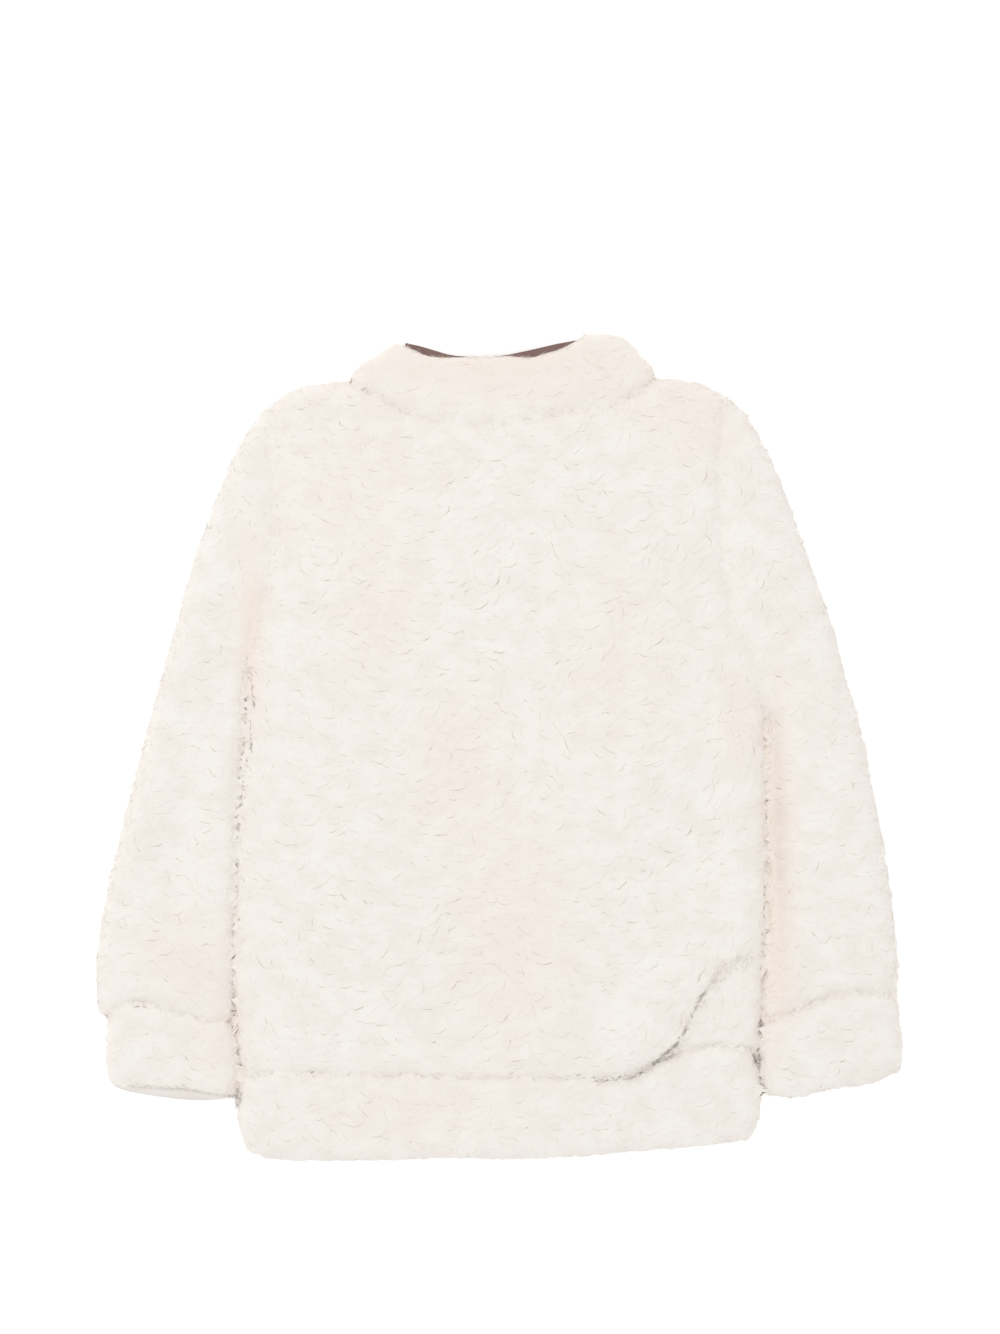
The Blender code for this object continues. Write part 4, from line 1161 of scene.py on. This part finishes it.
# %% Model the tooth and the stitch
# All sizes of the zip are in mm
TOOTH_LOW, TOOTH_HIGH = 5.35, 7.75
TOOTH_GRIP = (-3.0, -1.3)  # where the grip starts and ends, from the zip's middle
TOOTH_HALF = 0.75  # half the grip's width
TOOTH_STEPS = ((0.6, 0.62), (0.4, 1.5), (0.8, 0.75))  # how far it is drawn out, times how wide
TOOTH_SOFT = 0.12
STITCH_THICK = 0.24  # half of it
STITCH_LONG = 1.9
STITCH_OUT, STITCH_DIP = 0.25, -0.1  # how far the middle of an end reaches out and down


def block(low, high, soft):
    """A block between two corners with softened edges, in mm."""
    low, high = np.array(low, float), np.array(high, float)
    bpy.ops.object.select_all(action="DESELECT")
    bpy.ops.mesh.primitive_cube_add(size=1)
    cube = bpy.context.object
    edit(cube)
    bpy.ops.mesh.select_all(action="SELECT")
    bpy.ops.transform.resize(value=tuple(high - low))
    bpy.ops.transform.translate(value=tuple((high + low) / 2))
    if soft:
        bpy.ops.mesh.bevel(offset=soft, segments=2, affect="EDGES")
    bpy.ops.object.mode_set(mode="OBJECT")
    return cube


def model_tooth():
    """A tooth of the left side: a grip, a narrow neck and a head just past the middle."""
    start, end = TOOTH_GRIP
    tooth = block((start, -TOOTH_HALF, TOOTH_LOW), (end, TOOTH_HALF, TOOTH_HIGH), 0)
    for far, wide in TOOTH_STEPS:
        end = field(tooth.data.vertices, "co", 3)[:, 0].max()
        edit(tooth, "FACE")
        bpy.ops.object.mode_set(mode="OBJECT")
        select(tooth.data, "polygons", field(tooth.data.polygons, "center", 3)[:, 0] > end - 0.01)
        bpy.ops.object.mode_set(mode="EDIT")
        bpy.ops.mesh.extrude_region_move(TRANSFORM_OT_translate={"value": (far, 0, 0)})
        middle = (end + far, 0, (TOOTH_LOW + TOOTH_HIGH) / 2)
        bpy.ops.transform.resize(value=(1, wide, 1), center_override=middle)
    bpy.ops.mesh.select_all(action="SELECT")
    bpy.ops.mesh.bevel(offset=TOOTH_SOFT, segments=1, affect="EDGES")
    return shape_of(tooth)


def model_stitch():
    bpy.ops.object.select_all(action="DESELECT")
    bpy.ops.mesh.primitive_cylinder_add(
        vertices=6, radius=STITCH_THICK, depth=STITCH_LONG, end_fill_type="TRIFAN",
        rotation=(math.pi / 2, 0, 0),
    )
    stitch = bpy.context.object
    bpy.ops.object.transform_apply(rotation=True)
    for way in (-1, 1):
        edit_where(stitch, lambda p: (p[:, 1] * way > 0.9) & (np.hypot(p[:, 0], p[:, 2]) < 0.1))
        bpy.ops.transform.translate(value=(0, STITCH_OUT * way, STITCH_DIP))
    return shape_of(stitch)


TOOTH, STITCH = model_tooth(), model_stitch()
print("triangles of a tooth and of a stitch:", len(TOOTH[1]), "and", len(STITCH[1]))

# %% [markdown]
# ## The chain
#
# The teeth stand in two rows that face each other, shifted by half a step so that each head falls
# between two of the other side. A row of stitches holds each tape on the front.

# %% Make the zip's chain and stitches
ZIP_X = 0.43  # the zip's middle
TOOTH_PITCH = 2.9
TEETH_SPAN = (-246.5, 218.0)
STITCH_X = 6.4  # from the zip's middle
STITCH_Z = 6.55
STITCH_PITCH = 3.0
STITCH_SPAN = (-256, 236)


def in_rows(name, shape, starts, span, pitch, z, material):
    """Copies along Y in two rows that face each other. A row is given by its x and its shift along Y."""
    roots, axes = [], []
    for turn, (x, shift) in zip((1, -1), starts):
        y = np.arange(span[0] + shift, span[1], pitch)
        roots.append(np.stack([np.full(len(y), ZIP_X + x), y, np.full(len(y), z)], axis=1))
        axes.append(np.tile(np.diag((turn, turn, 1.0)), (len(y), 1, 1)))
    points, faces = copied(shape, np.concatenate(roots), np.concatenate(axes))
    piece = mesh_object(name, points * MM, faces, material)
    piece.data.shade_flat()
    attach(piece, "garment")
    print(name, "- copies and faces:", len(points) // len(shape[0]), len(faces))


in_rows("zip_teeth", TOOTH, ((0, 0), (0, TOOTH_PITCH / 2)), TEETH_SPAN, TOOTH_PITCH, 0, METAL)
in_rows(
    "zip_stitches", STITCH, ((-STITCH_X, 0), (STITCH_X, 1)), STITCH_SPAN, STITCH_PITCH, STITCH_Z, ZIP_TAPE,
)

# %% [markdown]
# ## The ends of the zip
#
# At the bottom, two pins slide into a box, which is how a jacket's zip comes apart. At the top, a
# stop on each side keeps the slider on. All five are small blocks with rounded edges.

# %% Make the box, the pins and the stops
# Columns: name, two opposite corners from the zip's middle, and how far the edges are rounded, in mm
ZIP_ENDS = [
    ("zip_box", (-3.4, -258.6, 4.9), (3.4, -251.5, 8.0), 0.6),
    ("zip_pin_left", (-2.7, -252.0, 5.5), (-1.1, -247.0, 7.7), 0.5),
    ("zip_pin_right", (1.1, -252.0, 5.5), (2.7, -247.0, 7.7), 0.5),
    ("zip_stop_left", (-3.1, 234.0, 5.5), (-1.0, 237.6, 7.75), 0.5),
    ("zip_stop_right", (1.0, 234.0, 5.5), (3.1, 237.6, 7.75), 0.5),
]
for name, low, high, soft in ZIP_ENDS:
    points, faces = shape_of(block(low, high, soft))
    piece = mesh_object(name, (points + (ZIP_X, 0, 0)) * MM, faces, METAL)
    piece.data.set_sharp_from_angle(angle=math.radians(40))
    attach(piece, "garment")
    print(name, "- faces:", len(faces))

# %% [markdown]
# ## Floor and light
#
# A white table under a large soft sky, as in a catalogue studio. The table glows a little, so that
# it stays white right up to the cloth. One broad lamp from the upper left gives the folds a side
# in light and a side in shade. A sun would draw hard shadows, which the photo doesn't have.

# %% Floor and light
TABLE_GLOW = 0.36
SKY = 0.835
LAMP_SIZE, LAMP_POWER = 2.3, 19
LAMP_PLACE = (-1.3, 1.3, 2.76)
LAMP_TILT = math.radians(-22)

bpy.ops.object.select_all(action="DESELECT")
bpy.ops.mesh.primitive_plane_add(size=6, location=(0, 0, 0))
floor = bpy.context.object
floor.name = "floor"
table = Shader("white table", Roughness=0.9)
table.surface.inputs["Base Color"].default_value = (0.86, 0.86, 0.86, 1)
table.surface.inputs["Emission Color"].default_value = (1, 1, 1, 1)
table.surface.inputs["Emission Strength"].default_value = TABLE_GLOW
floor.data.materials.append(table.material)

world = bpy.data.worlds.new("studio")
world.use_nodes = True
world.node_tree.nodes["Background"].inputs["Color"].default_value = (1, 1, 1, 1)
world.node_tree.nodes["Background"].inputs["Strength"].default_value = SKY
bpy.context.scene.world = world

key_data = bpy.data.lights.new("key", "AREA")
key_data.size = LAMP_SIZE
key_data.energy = LAMP_POWER
key = bpy.data.objects.new("key", key_data)
key.location = LAMP_PLACE
key.rotation_euler = (LAMP_TILT, LAMP_TILT, 0)
bpy.context.scene.collection.objects.link(key)

bpy.context.scene.view_settings.view_transform = "Standard"
print("lamp:", round(math.hypot(*LAMP_PLACE), 1), "m from the cloth,", LAMP_POWER, "W")
